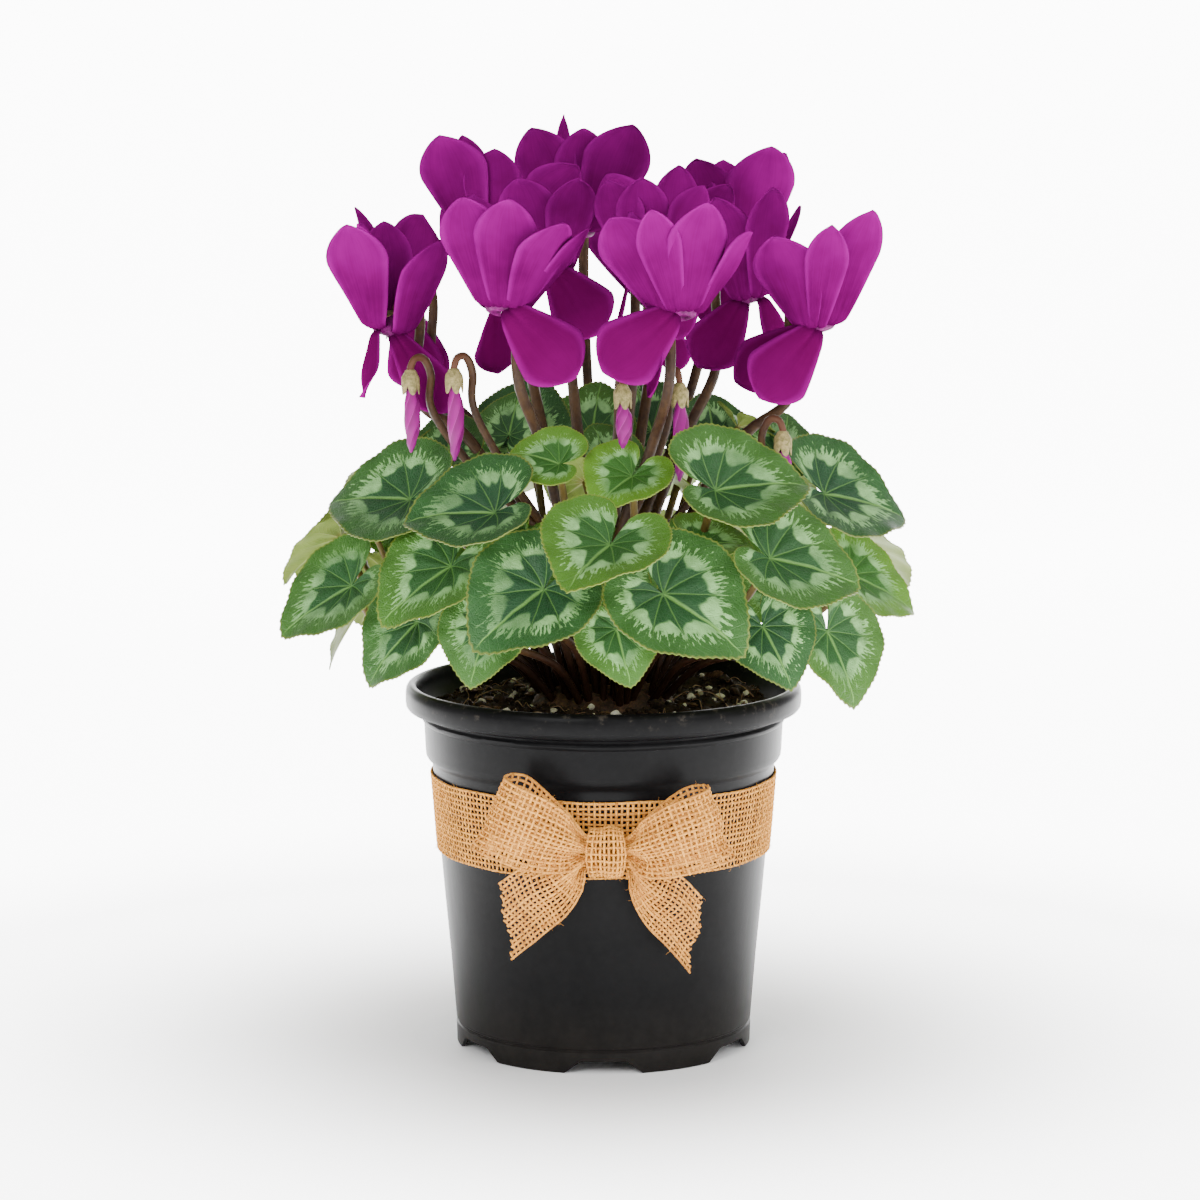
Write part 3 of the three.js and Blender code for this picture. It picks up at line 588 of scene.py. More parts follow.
# Places, sizes and turns of loose bits on the soil's surface.
def looseSpots(draw, count, smallest, largest, flatness, sink):
    spots = []
    for _ in range(count):
        turn = draw.uniform(0, 2 * math.pi)
        radius = soilShape["looseReach"] * math.sqrt(draw.uniform(0.06, 1))
        x, y = polar(radius, turn)
        size = draw.uniform(smallest, largest) / 2
        sizes = [size * draw.uniform(0.75, 1.25) for _ in range(2)]
        sizes.append(size * flatness * draw.uniform(0.7, 1.2))
        z = soilHeight(x, y) + sizes[2] * (1 - sink)
        tilt = Matrix.Rotation(draw.uniform(0, 6.28), 3, "Z") @ Matrix.Rotation(draw.gauss(0, 0.35), 3, "X")
        spots.append(((x * mm, y * mm, z * mm), [value * mm for value in sizes], tilt.to_quaternion()))
    return spots


def lumpyBall(name, detail, roughness, draw):
    bpy.ops.mesh.primitive_ico_sphere_add(subdivisions=detail, radius=1)
    ball = bpy.context.object
    ball.name = name
    for vertex in ball.data.vertices:
        vertex.co *= 1 + draw.uniform(-roughness, roughness)
    return ball


def soilMaterial(name, colour, second, scale, roughness=0.92):
    mottledMaterial(name, colour, second, scale, 6, 0.7, 0.0008, roughness, 0.25)


# Thin roots that wander over the soil, most of them in a low arch.
def makeRoots(shape, draw):
    roots = []
    steps = shape["rootSteps"]
    for _ in range(shape["roots"]):
        turn, radius = draw.uniform(0, 2 * math.pi), 55 * math.sqrt(draw.uniform(0.12, 0.95))
        heading, length = draw.uniform(0, 2 * math.pi), draw.uniform(5, 15)
        x, y = polar(radius, turn)
        points = []
        for i in range(steps + 1):
            heading += draw.gauss(0, 0.25)
            x += math.cos(heading) * length / steps
            y += math.sin(heading) * length / steps
            if math.hypot(x, y) > shape["looseReach"]:
                heading += math.pi * 0.6
            lift = math.sin(math.pi * (i / steps)) * length * 0.16 * (draw.random() < 0.8)
            points.append((x * mm, y * mm, (soilHeight(x, y, False) + 0.7 + lift) * mm))
        route = smoothRoute(points, 3)
        roots.append((route, np.linspace(0.26, 0.1, len(route)) * mm))
    return strandPiece("rootFibres", roots, 4)


def makeSoilPieces(shape):
    draw = random.Random(shape["seed"])
    soilMaterial("peat", *peatLook)
    settle(paint(makeSoil(shape), "peat"), "potting_soil", "soil")
    for name, detail, count, small, large, flatness, sink, colour, second in shape["kinds"]:
        ball = lumpyBall(name + "Base", detail, 0.24, draw)
        piece = scattered(name, ball, looseSpots(draw, count, small, large, flatness, sink))
        bpy.data.objects.remove(ball)
        soilMaterial(name + "Tone", colour, second, 260)
        settle(paint(piece, name + "Tone"), "potting_soil")
    soilMaterial("rootTone", *rootLook, roughness=0.8)
    settle(paint(makeRoots(shape, draw), "rootTone"), "potting_soil")


makeSoilPieces(soilShape)
print("soil made")


# leaves
leafShape = {
    # Half the angle of the notch in degrees, as the outline has it and as it is cut.
    "notch": 10, "opening": 13,
    "columns": 128, "rows": 12, "teeth": 64, "thickness": 0.34, "sharpAngle": 80,
    "veinStep": 38,  # degrees between the main veins
    # Shares of the leaf's length: teeth, raised sides, raised lobes, sunk tip, bulges and waves of the edge.
    "toothDepth": 0.011, "sideLift": 0.13, "lobeLift": 0.22, "tipFall": 0.1, "bulge": 0.016, "wave": 0.018,
    # Joint in mm, bearing of the upper face, lean from level, turn of the tip, length in mm, funnel.
    "table": [
        ((-18.5, -72, 161), 262, 50, -42, 30, 0.26), ((18.5, -75, 160), 282, 50, 46, 32, 0.24),
        ((2, -77, 175.5), 270, 32, -28, 28, 0.4), ((-48, -50, 165), 236, 46, -30, 29, 0.3),
        ((-34, -58, 183), 247, 36, -72, 29, 0.38), ((-62, -24, 183), 238, 42, -82, 30, 0.28),
        ((-81, -24, 155), 228, 46, -36, 28, 0.25), ((-86, 4, 167), 150, 40, 30, 24, 0.2),
        ((-80, 16, 142), 172, 62, 12, 23, 0.2), ((-59, -42, 146), 226, 60, -26, 26, 0.25),
        ((-36, -60, 148), 250, 62, -8, 21, 0.2), ((4, -74.5, 149), 274, 64, 12, 19, 0.16),
        ((-14, -45, 197), 262, 42, -104, 17, 0.34), ((9, -45, 193), 268, 36, -34, 20, 0.4),
        ((35, -57, 190), 291, 38, 86, 31, 0.36), ((52, -60, 169), 303, 45, 62, 31, 0.28),
        ((71, -18, 184), 312, 42, 64, 31, 0.26), ((80, -12, 157), 322, 46, 44, 26, 0.25),
        ((79, 30, 166), 18, 32, 2, 32, 0.14), ((71, -42, 143), 312, 64, 4, 26, 0.25),
        ((50, -58, 147), 292, 62, 16, 22, 0.22), ((62, 16, 194), 4, 22, -6, 25, 0.2),
        ((30, 47, 197), 54, 28, 10, 24, 0.22), ((-4, 23, 199), 272, 60, 170, 20, 0.16),
        ((-31, 12, 200), 250, 66, 175, 16, 0.16), ((-62, 18, 193), 164, 26, 14, 28, 0.2),
        ((58, 58, 151), 45, 46, 6, 29, 0.26), ((15, 79, 153), 80, 46, -10, 30, 0.26),
        ((-34, 72, 150), 115, 48, 14, 29, 0.26), ((-69, 42, 151), 149, 46, -8, 28, 0.26),
        ((50, 46, 182), 44, 34, -12, 28, 0.3), ((12, 63, 180), 80, 34, 16, 29, 0.3),
        ((-33, 54, 178), 122, 34, -14, 29, 0.3), ((-35, 34, 200), 134, 26, 12, 18, 0.24),
    ],
    # Leaves of the crown that stand behind others. The first six are young.
    "young": [
        ((-75, -6, 170), 214, 34, -60, 13, 0.2), ((-6, -26, 189), 108, 40, 20, 17, 0.34),
        ((30, -52, 172), 300, 24, 70, 18, 0.42), ((44, 8, 203), 20, 30, 30, 15, 0.5),
        ((-26, -40, 172), 240, 34, -20, 17, 0.3), ((32, 30, 176), 40, 34, 10, 19, 0.3),
        ((-27, 22, 198), 262, 62, 168, 23, 0.2), ((16, 34, 199), 276, 60, 196, 22, 0.2),
        ((36, 18, 197), 288, 58, 176, 19, 0.24), ((57, 4, 194), 296, 50, 150, 18, 0.3),
        ((-50, -4, 195), 246, 50, 196, 18, 0.3), ((2, 4, 190), 268, 62, 200, 17, 0.24),
        ((-80, 18, 160), 110, 74, 84, 25, 0.1),
        ((-30, -22, 158), 262, 68, 172, 22, 0.2), ((2, -26, 156), 270, 68, 182, 22, 0.2),
        ((30, -22, 158), 280, 68, 190, 22, 0.2), ((-56, -16, 152), 246, 66, 176, 22, 0.2),
        ((56, -18, 152), 296, 66, 186, 22, 0.2), ((-64, 4, 170), 236, 60, 190, 20, 0.2),
    ],
    # Youth of each leaf, from 0, dark and full grown, to 1, light green.
    "youth": {2: 0.55, 12: 0.8, 13: 1, 15: 0.25, 17: 0.9, 22: 0.5, 24: 0.2, 33: 0.9},
    "pale": (8, 9, 19, 22, 26),  # numbers of the leaves that are lightest
}
ringLook = {
    "inner": 0.63, "outer": 0.62, "dip": 0.07, "moreDip": 0.16, "dome": 0.03, "spikes": 0.24,
    "faintest": 0.4,
}
leafLook = {
    "heart": [(0.006, 0.03, 0.01), (0.014, 0.056, 0.018)], "youngHeart": (0.025, 0.095, 0.01),
    "margin": [(0.01, 0.046, 0.01), (0.023, 0.08, 0.016)], "youngMargin": (0.075, 0.18, 0.012),
    "veinlet": (0.09, 0.2, 0.07), "ring": (0.24, 0.47, 0.17),
    "vein": (0.17, 0.36, 0.08), "edge": (0.19, 0.2, 0.03),
    "specular": 0.22, "smoothest": 0.38, "roughest": 0.56, "relief": 0.5, "depth": 0.0005,
}
underLook = {
    "skin": [(0.12, 0.19, 0.03), (0.24, 0.3, 0.06)], "joint": (0.22, 0.1, 0.05), "vein": (0.46, 0.5, 0.2),
    "specular": 0.3, "roughness": 0.6, "relief": 0.6, "depth": 0.0006,
}


def leafAxes(leaf):
    bearing, tilt, turn = (math.radians(value) for value in leaf[1:4])
    outward, upward = ringPoint(1, bearing), Vector((0, 0, 1))
    normal = outward * math.sin(tilt) + upward * math.cos(tilt)
    downhill = outward * math.cos(tilt) - upward * math.sin(tilt)
    midrib = downhill * math.cos(turn) + normal.cross(downhill) * math.sin(turn)
    return normal, midrib, normal.cross(midrib)


# Reach of the edge from the joint, as a share of the leaf's length, at an angle from the midrib.
def leafReach(angle):
    share = abs(angle) / (math.pi - math.radians(leafShape["notch"]))
    heart = (0.74 - 0.17 * share ** 2.6) * (1 - 0.55 * share ** 12)
    shoulder = 0.035 * math.exp(-((abs(angle) - math.radians(68)) / math.radians(28)) ** 2)
    return heart + shoulder + 0.26 * math.exp(-(abs(angle) / math.radians(24)) ** 1.4)


def makeLeaf(name, leaf, seed, youth):
    joint, face, _, _, length, funnel = leaf
    normal, midrib, across = leafAxes(leaf)
    shape = leafShape
    widest = math.pi - math.radians(shape["opening"])
    joint = Vector(joint)
    veins = math.radians(shape["veinStep"])

    # Angle from the midrib and reach, before the blade is bent.
    def flatPlace(u, v):
        angle = widest * (2 * u - 1)
        tooth = 1 + shape["toothDepth"] * math.cos(2 * math.pi * shape["teeth"] * u) * v ** 24
        return angle, leafReach(angle) * v * tooth

    def place(u, v):
        angle, out = flatPlace(u, v)
        share = abs(angle) / widest
        bulge = math.sin(math.pi * angle / veins * (1 + 0.16 * v)) ** 2 - 0.5
        rise = funnel * out * (1 - 0.4 * out) + 0.03 * out ** 3 * math.sin(3 * angle + face)
        rise += shape["sideLift"] * out * (abs(math.sin(angle)) - 0.6) + shape["lobeLift"] * out * share ** 5
        rise -= shape["tipFall"] * out ** 4 * math.exp(-(angle / 0.5) ** 2)
        rise += shape["bulge"] * bulge * math.sin(math.pi * min(1, v * 1.1)) ** 1.5
        rise += shape["wave"] * v ** 5 * math.sin(11 * angle + 2.3 * seed) * (1 - 0.6 * share)
        offset = midrib * (out * math.cos(angle)) + across * (out * math.sin(angle)) + normal * rise
        return (joint + length * offset) * mm

    piece = shapedGrid(name, shape["columns"], shape["rows"], place)
    mesh = piece.data
    corners = np.empty(len(mesh.loops) * 2)
    mesh.uv_layers[0].data.foreach_get("uv", corners)
    mesh.uv_layers[0].name = "polar"
    flat = []
    for u, v in corners.reshape(-1, 2):
        angle, out = flatPlace(u, v)
        flat += [out * math.cos(angle) + 7 * seed, out * math.sin(angle)]
    mesh.uv_layers.new(name="flat").data.foreach_set("uv", flat)
    mesh.uv_layers.new(name="own").data.foreach_set("uv", [seed, youth] * len(mesh.loops))
    paint(piece, "leafTop")
    paint(piece, "leafUnder")
    mergeDoubles(piece, 2e-6)
    editAll(piece, bpy.ops.mesh.flip_normals)
    applyModifier(piece, "SOLIDIFY", thickness=shape["thickness"] * mm, offset=0,
                  material_offset=1, material_offset_rim=0)
    smooth(piece, shape["sharpAngle"])
    return piece


# Masks of the veins and of the silver ring, from an angle round the joint and a share of the reach.
def makeLeafPattern(look):
    sheet, given, result = newGroup(
        "leafPattern", {"Polar": "vector", "Flat": "vector", "Own": "vector"},
        {name: "value" for name in ("Veins", "Veinlets", "Ring", "Margin", "Edge", "Cells")})
    u, v = sheet.split(given["Polar"])[:2]
    seed = sheet.split(given["Own"])[0]

    # Main veins, which curve and wander, with the one in the middle the widest.
    veinCount = 2 * (180 - leafShape["notch"]) / leafShape["veinStep"]
    wander = sheet.noise(given["Flat"], 3.2, 2)
    vein = (u - 0.5) * veinCount * (v * 0.16 + 1) + (wander - 0.5) * 0.22
    near = sheet.math("PINGPONG", vein, 0.5)
    middle = sheet.math("ABSOLUTE", vein).step(0.5, 0.42)
    width = (1.3 - v) * (middle * 0.03 + 0.026)
    mainVein = 1 - (near * v / width).step(0.25, 1.0)
    fade = (v.step(0.95, 0.55) + middle * v.step(1.0, 0.85)).clamped()
    sheet.feed(result["Veins"], mainVein * fade * (middle * 0.45 + 0.55))

    # Side veins, in ranks that climb from the main ones.
    rank = v * 8 - near * 5 + wander * 1.6
    ribs = sheet.math("PINGPONG", rank, 0.5).step(0.085, 0.02)
    sheet.feed(result["Veinlets"], ribs * v.step(0.2, 0.45))

    # The ring: a dome between every two veins, with a spiky outer edge and uneven strength.
    slow = sheet.noise(sheet.combine(u * 9, v * 1.5, seed), 1, 2)
    spiky = sheet.noise(sheet.combine(u * 120, v * 6, seed + 5), 1, 3, 0.6)
    patchy = sheet.noise(sheet.combine(u * 6, 0.5, seed + 9), 1, 1)
    fromMiddle = (0.5 - near) / 0.46
    dome = sheet.math("SQRT", (1 - fromMiddle * fromMiddle).clamped())
    inner = look["inner"] - dome * (slow.step(0.3, 0.7) * look["moreDip"] + look["dip"])
    outer = dome * look["dome"] + look["outer"] + spiky.step(0.44, 0.68) * look["spikes"]
    ring = (v - inner).step(-0.025, 0.035) * (v - outer).step(0.02, -0.02)
    weight = patchy.step(0.34, 0.56) * (1 - look["faintest"]) + look["faintest"]
    weight = weight * (dome * 0.35 + 0.65)
    blotch = (sheet.noise(given["Flat"], 9, 3) * 1.3 + 0.2).clamped()
    sheet.feed(result["Ring"], ring * weight * blotch)

    sheet.feed(result["Margin"], (v + slow * 0.16).step(0.6, 0.82))
    sheet.feed(result["Edge"], v.step(0.965, 0.99))
    inputs = {"Vector": given["Flat"], "Scale": 22}
    cells = sheet.value("ShaderNodeTexVoronoi", inputs, "Distance", feature="DISTANCE_TO_EDGE")
    sheet.feed(result["Cells"], cells.step(0.0, 0.12))


def leafInputs(sheet):
    return {"Polar": sheet.uv("polar"), "Flat": sheet.uv("flat"), "Own": sheet.uv("own")}


def makeLeafTop(look):
    sheet = Material("leafTop", specular=look["specular"])
    inputs = leafInputs(sheet)
    pattern = sheet.group("leafPattern", inputs)
    youth = sheet.split(inputs["Own"])[1]
    mottle = sheet.noise(inputs["Flat"], 6, 4, 0.6)
    heart = sheet.mix(youth, sheet.mix(mottle, *look["heart"]), look["youngHeart"])
    margin = sheet.mix(youth, sheet.mix(mottle, *look["margin"]), look["youngMargin"])
    colour = sheet.mix(pattern["Margin"], heart, margin)
    colour = sheet.mix(pattern["Veinlets"] * 0.16, colour, look["veinlet"])
    colour = sheet.mix(pattern["Ring"] * 0.84, colour, look["ring"])
    colour = sheet.mix(pattern["Veins"] * 0.55, colour, look["vein"])
    colour = sheet.mix(pattern["Edge"] * 0.45, colour, look["edge"])
    sheet.feed(sheet.shader["Roughness"], mottle.between(look["smoothest"], look["roughest"]))
    height = pattern["Cells"] * 0.45 - pattern["Veins"] - pattern["Veinlets"] * 0.45
    sheet.dress(colour, height, look["relief"], look["depth"])


def makeLeafUnder(look):
    sheet = Material("leafUnder", look["roughness"], look["specular"])
    inputs = leafInputs(sheet)
    pattern = sheet.group("leafPattern", inputs)
    nearJoint = sheet.split(inputs["Polar"])[1].step(0.3, 0.0)
    colour = sheet.mix(sheet.noise(inputs["Flat"], 5, 4, 0.6), *look["skin"])
    colour = sheet.mix(nearJoint * 0.6, colour, look["joint"])
    colour = sheet.mix(pattern["Veins"] * 0.6, colour, look["vein"])
    sheet.dress(colour, pattern["Veins"] + pattern["Veinlets"] * 0.5, look["relief"], look["depth"])


makeLeafPattern(ringLook)
makeLeafTop(leafLook)
makeLeafUnder(underLook)
for i, leaf in enumerate(leafShape["table"]):
    piece = makeLeaf(f"leafBlade{i + 1}", leaf, i + 1, leafShape["youth"].get(i, 0.12 * (i % 4)))
    settle(piece, "leaf_underside" if i + 1 in leafShape["pale"] else "leaf", f"leaf_{i + 1:02d}")
for i, leaf in enumerate(leafShape["young"]):
    youth = 0.8 if i < 6 else 0.05 * i - 0.3
    settle(makeLeaf(f"youngLeaf{i + 1}", leaf, i + 60, youth), "leaf")
print("leaves made")


# blooms
# Petals of a bloom that is seen from every side alike: three upright and two hanging.
def evenPetals(face, tall, drop, spread, twist):
    upright = [(face, 0, tall, 22, 74, twist, 10), (face + 44, -spread, tall, 22, 74, twist, 14),
               (face - 44, spread, tall, 22, 74, twist, 14)]
    return upright + [(face + 112, 0.6 * spread, drop, 20, -76, twist, 0),
                      (face - 112, -0.6 * spread, drop, 20, -76, twist, 0)]


bloomShape = {
    "noseRadius": 5.4, "thickness": 0.3, "columns": 18, "rows": 30, "steps": 60,
    "bend": 0.16,  # share of a petal's length over which it bends up or down
    "widest": 0.68,  # share of its length at which it is widest
    # Middle of the mouth in mm, bearing, how far the mouth tips outwards, and petals. Each petal has the
    # bearing it faces, its lean aside, length and width in mm, slope, twist and the curl of its tip.
    "table": [
        ((-69, -18, 236), 200, 20, [
            (232, 6, 38, 24, 77, 8, -4), (316, -6, 37, 24, 68, 16, 4), (82, -8, 40, 18, 76, 0, 8),
            (150, 0, 36, 20, 76, 10, 0), (290, 30, 32, 16, -72, 12, 6), (215, 12, 24, 16, -74, 20, 0)]),
        ((-31.5, -53, 246), 244, 18, [
            (232, 7, 38, 24, 80, 10, -4), (268, -4, 39, 20, 74, 0, 0), (312, -10, 35, 24, 64, 12, 16),
            (350, -22, 36, 22, 56, 10, -8), (122, 0, 40, 21, 78, 0, 6), (283, 42, 32, 23, -74, 6, 0)]),
        ((23.5, -58, 245), 286, 18, [
            (226, 18, 37, 25, 71, 8, 6), (262, 11, 38, 14, 72, 10, 0), (292, -5, 38, 22, 80, 16, 8),
            (350, -22, 33, 21, 62, 0, 0), (158, 0, 36, 20, 76, 0, 0), (262, -50, 31, 23, -76, 0, 0),
            (196, 0, 27, 15, -84, 0, 0)]),
        ((69, -25, 238), 332, 20, [
            (228, 8, 35, 26, 73, 8, 4), (262, -9, 39, 14, 72, 10, 0), (304, -12, 42, 22, 78, 12, 4),
            (20, -8, 34, 20, 72, 0, 0), (262, -40, 31, 22, -72, 0, 0), (225, -48, 30, 21, -66, 0, 0)]),
        ((47, 2, 245), 350, 16, [
            (252, 12, 38, 18, 80, 8, 0), (300, 0, 40, 18, 80, 10, 4), (10, -10, 34, 20, 70, 0, 0),
            (250, -30, 27, 20, -74, 0, 0), (330, 14, 25, 18, -74, 0, 0)]),
        ((45, 42, 256), 350, 14, [
            (238, 12, 38, 22, 79, 6, 0), (290, -7, 42, 26, 76, 10, 6), (30, 0, 38, 20, 74, 0, 0),
            (106, 0, 36, 18, 76, 0, 0), (260, -20, 26, 20, -74, 0, 0)]),
        ((-66, 30, 238), 156, 24, evenPetals(156, 38, 26, 24, 16)),
        ((-32, 62, 240), 117, 22, evenPetals(117, 38, 26, 24, -16)),
        ((17, 68, 240), 78, 22, evenPetals(78, 38, 26, 24, 16)),
        ((-37, 4, 263), 196, 12, [
            (236, 12, 40, 25, 75, 8, 0), (276, 0, 34, 19, 81, 0, 0), (314, -34, 38, 22, 64, 0, 0),
            (112, -8, 38, 14, 84, 0, 0), (250, 30, 24, 18, -74, 0, 0)]),
        ((-8, 30, 265), 262, 10, [
            (238, 14, 39, 23, 78, 6, 0), (276, 0, 37, 19, 82, 0, 0), (302, -16, 41, 27, 76, 6, 0),
            (140, 6, 42, 8, 88, 0, 0), (20, 0, 30, 18, 72, 0, 0)]),
        ((20, 12, 254), 286, 10, [
            (236, 22, 37, 20, 76, 6, 0), (286, -2, 37, 16, 82, 0, 0), (320, -20, 34, 20, 68, 0, 0),
            (20, 0, 32, 18, 72, 0, 0), (180, 0, 32, 18, 74, 0, 0)]),
        ((14, -24, 255), 292, 12, [
            (236, 8, 34, 18, 76, 6, 6), (272, 6, 34, 17, 80, 0, 8), (320, -14, 33, 19, 72, 0, 8),
            (292, 20, 24, 18, -74, 0, 0), (180, 0, 24, 18, -76, 0, 0)]),
        ((-17, -20, 256), 236, 12, [
            (246, 8, 33, 20, 76, 6, 10), (296, -4, 34, 18, 74, 0, 14), (0, -6, 31, 16, 70, 0, 8),
            (276, 36, 27, 22, -74, 0, 0), (180, 0, 24, 18, -76, 0, 0)]),
    ],
    "nose": [  # radius and height in mm, from the throat round the rim to the crown
        (0, 3.4), (1.7, 3.0), (2.7, 1.3), (3.3, -0.5), (4.2, -1.0), (5.0, -0.4), (5.4, 0.7),
        (5.1, 2.3), (4.3, 4.3), (3.3, 5.9), (1.7, 6.5), (0, 6.6),
    ],
}
petalLook = {
    # deep and base: the petal's own deeper colour, with painted shade towards the throat
    "deep": [(0.075, 0.0, 0.048), (0.13, 0.0, 0.09)], "bright": [(0.13, 0.0, 0.092), (0.195, 0.0, 0.142)],
    # The colour for hanging petals is painted shade.
    # The rim colour is partly the petal's own paler edge and partly a painted highlight.
    "hanging": (0.095, 0.0, 0.052), "rim": (0.29, 0.003, 0.225), "base": (0.07, 0.0, 0.045),
    "roughness": 0.6, "relief": 0.2, "depth": 0.0002, "translucent": 0.28,
}
smallPartsLook = [  # name, two colours and scale of the mottling
    ("petalThroat", (0.05, 0.0, 0.035), (0.16, 0.0, 0.11), 400),
    ("calyx", (0.11, 0.1, 0.035), (0.27, 0.21, 0.09), 900),
    ("stigma", (0.75, 0.6, 0.62), (0.85, 0.8, 0.78), 500),
]


def petalWidth(share):
    widest = bloomShape["widest"]
    if share < widest:
        return 0.25 + 0.75 * (1 - (1 - share / widest) ** 1.2)
    return max(0, 1 - ((share - widest) / (1 - widest)) ** 1.9) ** 0.75


def bloomFrames(bloom):
    place = Matrix.Translation(Vector(bloom[0]) * mm)
    level = place @ Matrix.Rotation(math.radians(bloom[1]), 4, "Z")
    return level, level @ Matrix.Rotation(math.radians(-bloom[2]), 4, "Y")


# Middle line of a petal: places and pitches at even shares of its length.
def petalRoute(petal, bloom, out, rising):
    _, _, length, _, slope, _, curl = petal
    steps, bend = bloomShape["steps"], bloomShape["bend"]
    centre = out * (bloomShape["noseRadius"] - 1.3) + Vector((0, 0, 0.5))
    centre.rotate(Matrix.Rotation(math.radians(-bloom[2]), 3, "Y"))
    places, pitches = [], []
    for i in range(steps + 1):
        share = i / steps
        tail = curl * max(0, (share - 0.55) / 0.45) ** 2
        places.append(centre.copy())
        pitches.append(math.radians(slope * min(1, share / bend) - tail))
        passed = min(1, (share + 0.5 / steps) / bend)
        pitch = math.radians(slope * passed - 15 * (1 - passed) - tail)
        centre += (out * math.cos(pitch) + rising * math.sin(pitch)) * length / steps
    return np.array(places), np.array(pitches)


# A petal leaves the rim outwards, bends up or down in its first part and then runs on, twisting.
def makePetal(petal, bloom, draw):
    facing, lean, length, width, slope, twist, _ = petal
    bearing = math.radians(facing - bloom[1])
    out = ringPoint(1, bearing)
    turn = Matrix.Rotation(math.radians(lean), 3, out)
    rising = turn @ Vector((0, 0, 1))
    aside = turn @ Vector((0, 0, 1)).cross(out)
    places, pitches = petalRoute(petal, bloom, out, rising)
    evenly = np.linspace(0, 1, len(pitches))
    hangs = slope < 0
    upward = -1 if hangs else 1
    ripple, roll, tilt = draw.uniform(0.25, 0.8), draw.uniform(-0.4, 1.5), draw.uniform(-0.5, 0.5)
    phases = draw.uniform(0, 6.28), draw.uniform(0, 6.28)
    waves = draw.uniform(6, 10)

    def place(u, v):
        side, share = 2 * u - 1, 1 - (1 - v) ** 1.35
        centre = Vector([np.interp(share, evenly, places[:, k]) for k in range(3)])
        pitch = float(np.interp(share, evenly, pitches))
        along = out * math.cos(pitch) + rising * math.sin(pitch)
        across = Matrix.Rotation(math.radians(twist * share), 3, along) @ aside
        normal = along.cross(across)
        half = width / 2 * petalWidth(share)
        cup = (-0.12 if hangs else 0.14) * half * (1 + 1.6 * (1 - share) ** 3)
        curve = cup * side ** 2 - upward * roll * abs(side) ** 5 * share ** 2
        curve += ripple * abs(side) ** 1.5 * math.sin(waves * share + phases[int(side > 0)]) * share ** 1.5
        curve += 0.5 * math.exp(-(side / 0.12) ** 2) * (1 - share) * upward
        return (centre - across * (side * half + tilt * share ** 3) + normal * curve) * mm

    piece = shapedGrid("petal", bloomShape["columns"], bloomShape["rows"], place)
    mergeDoubles(piece, 2e-6)
    # Marks the hanging petals, which get painted shade in their skin.
    layer = piece.data.attributes.new("hanging", "FLOAT", "POINT")
    layer.data.foreach_set("value", [float(hangs)] * len(piece.data.vertices))
    applyModifier(piece, "SOLIDIFY", thickness=bloomShape["thickness"] * mm, offset=0)
    paint(piece, "petalSkin")
    smooth(piece)
    return piece


def makeNose():
    nose = spunProfile("nose", [(r * mm, z * mm) for r, z in bloomShape["nose"]], 40)
    for vertex in nose.data.vertices:
        lobes = 1 + 0.05 * math.cos(5 * math.atan2(vertex.co.y, vertex.co.x))
        vertex.co.x *= lobes
        vertex.co.y *= lobes
    paint(nose, "petalThroat")
    smooth(nose)
    return nose


# Five small pointed leaves that hold the nose round the stalk.
def makeSepals():
    sepals = []
    for i in range(5):
        turn = math.radians(72 * i + 36)

        def place(u, v):
            side = (2 * u - 1) * 1.5 * math.sin(math.pi * min(1, 0.2 + 0.8 * v)) ** 0.8
            radius = 0.9 + 4.1 * v
            height = 7.3 - 0.5 * v - 3.2 * v ** 2.4 - 0.12 * side ** 2
            x, y = polar(radius, turn + side / max(radius, 1.6))
            return x * mm, y * mm, height * mm

        sepal = shapedGrid("sepal", 6, 10, place)
        applyModifier(sepal, "SOLIDIFY", thickness=0.3 * mm, offset=0)
        sepals.append(paint(sepal, "calyx"))
    points = [(0, 0, z * mm) for z in (3.2, 1.5, 0, -1.2, -1.9)]
    radii = [value * mm for value in (0.35, 0.35, 0.33, 0.36, 0.2)]
    stigma = paint(strandPiece("stigma", [(points, radii)], 6), "stigma")
    joined = joinPieces("sepals", [*sepals, stigma])
    smooth(joined)
    return joined


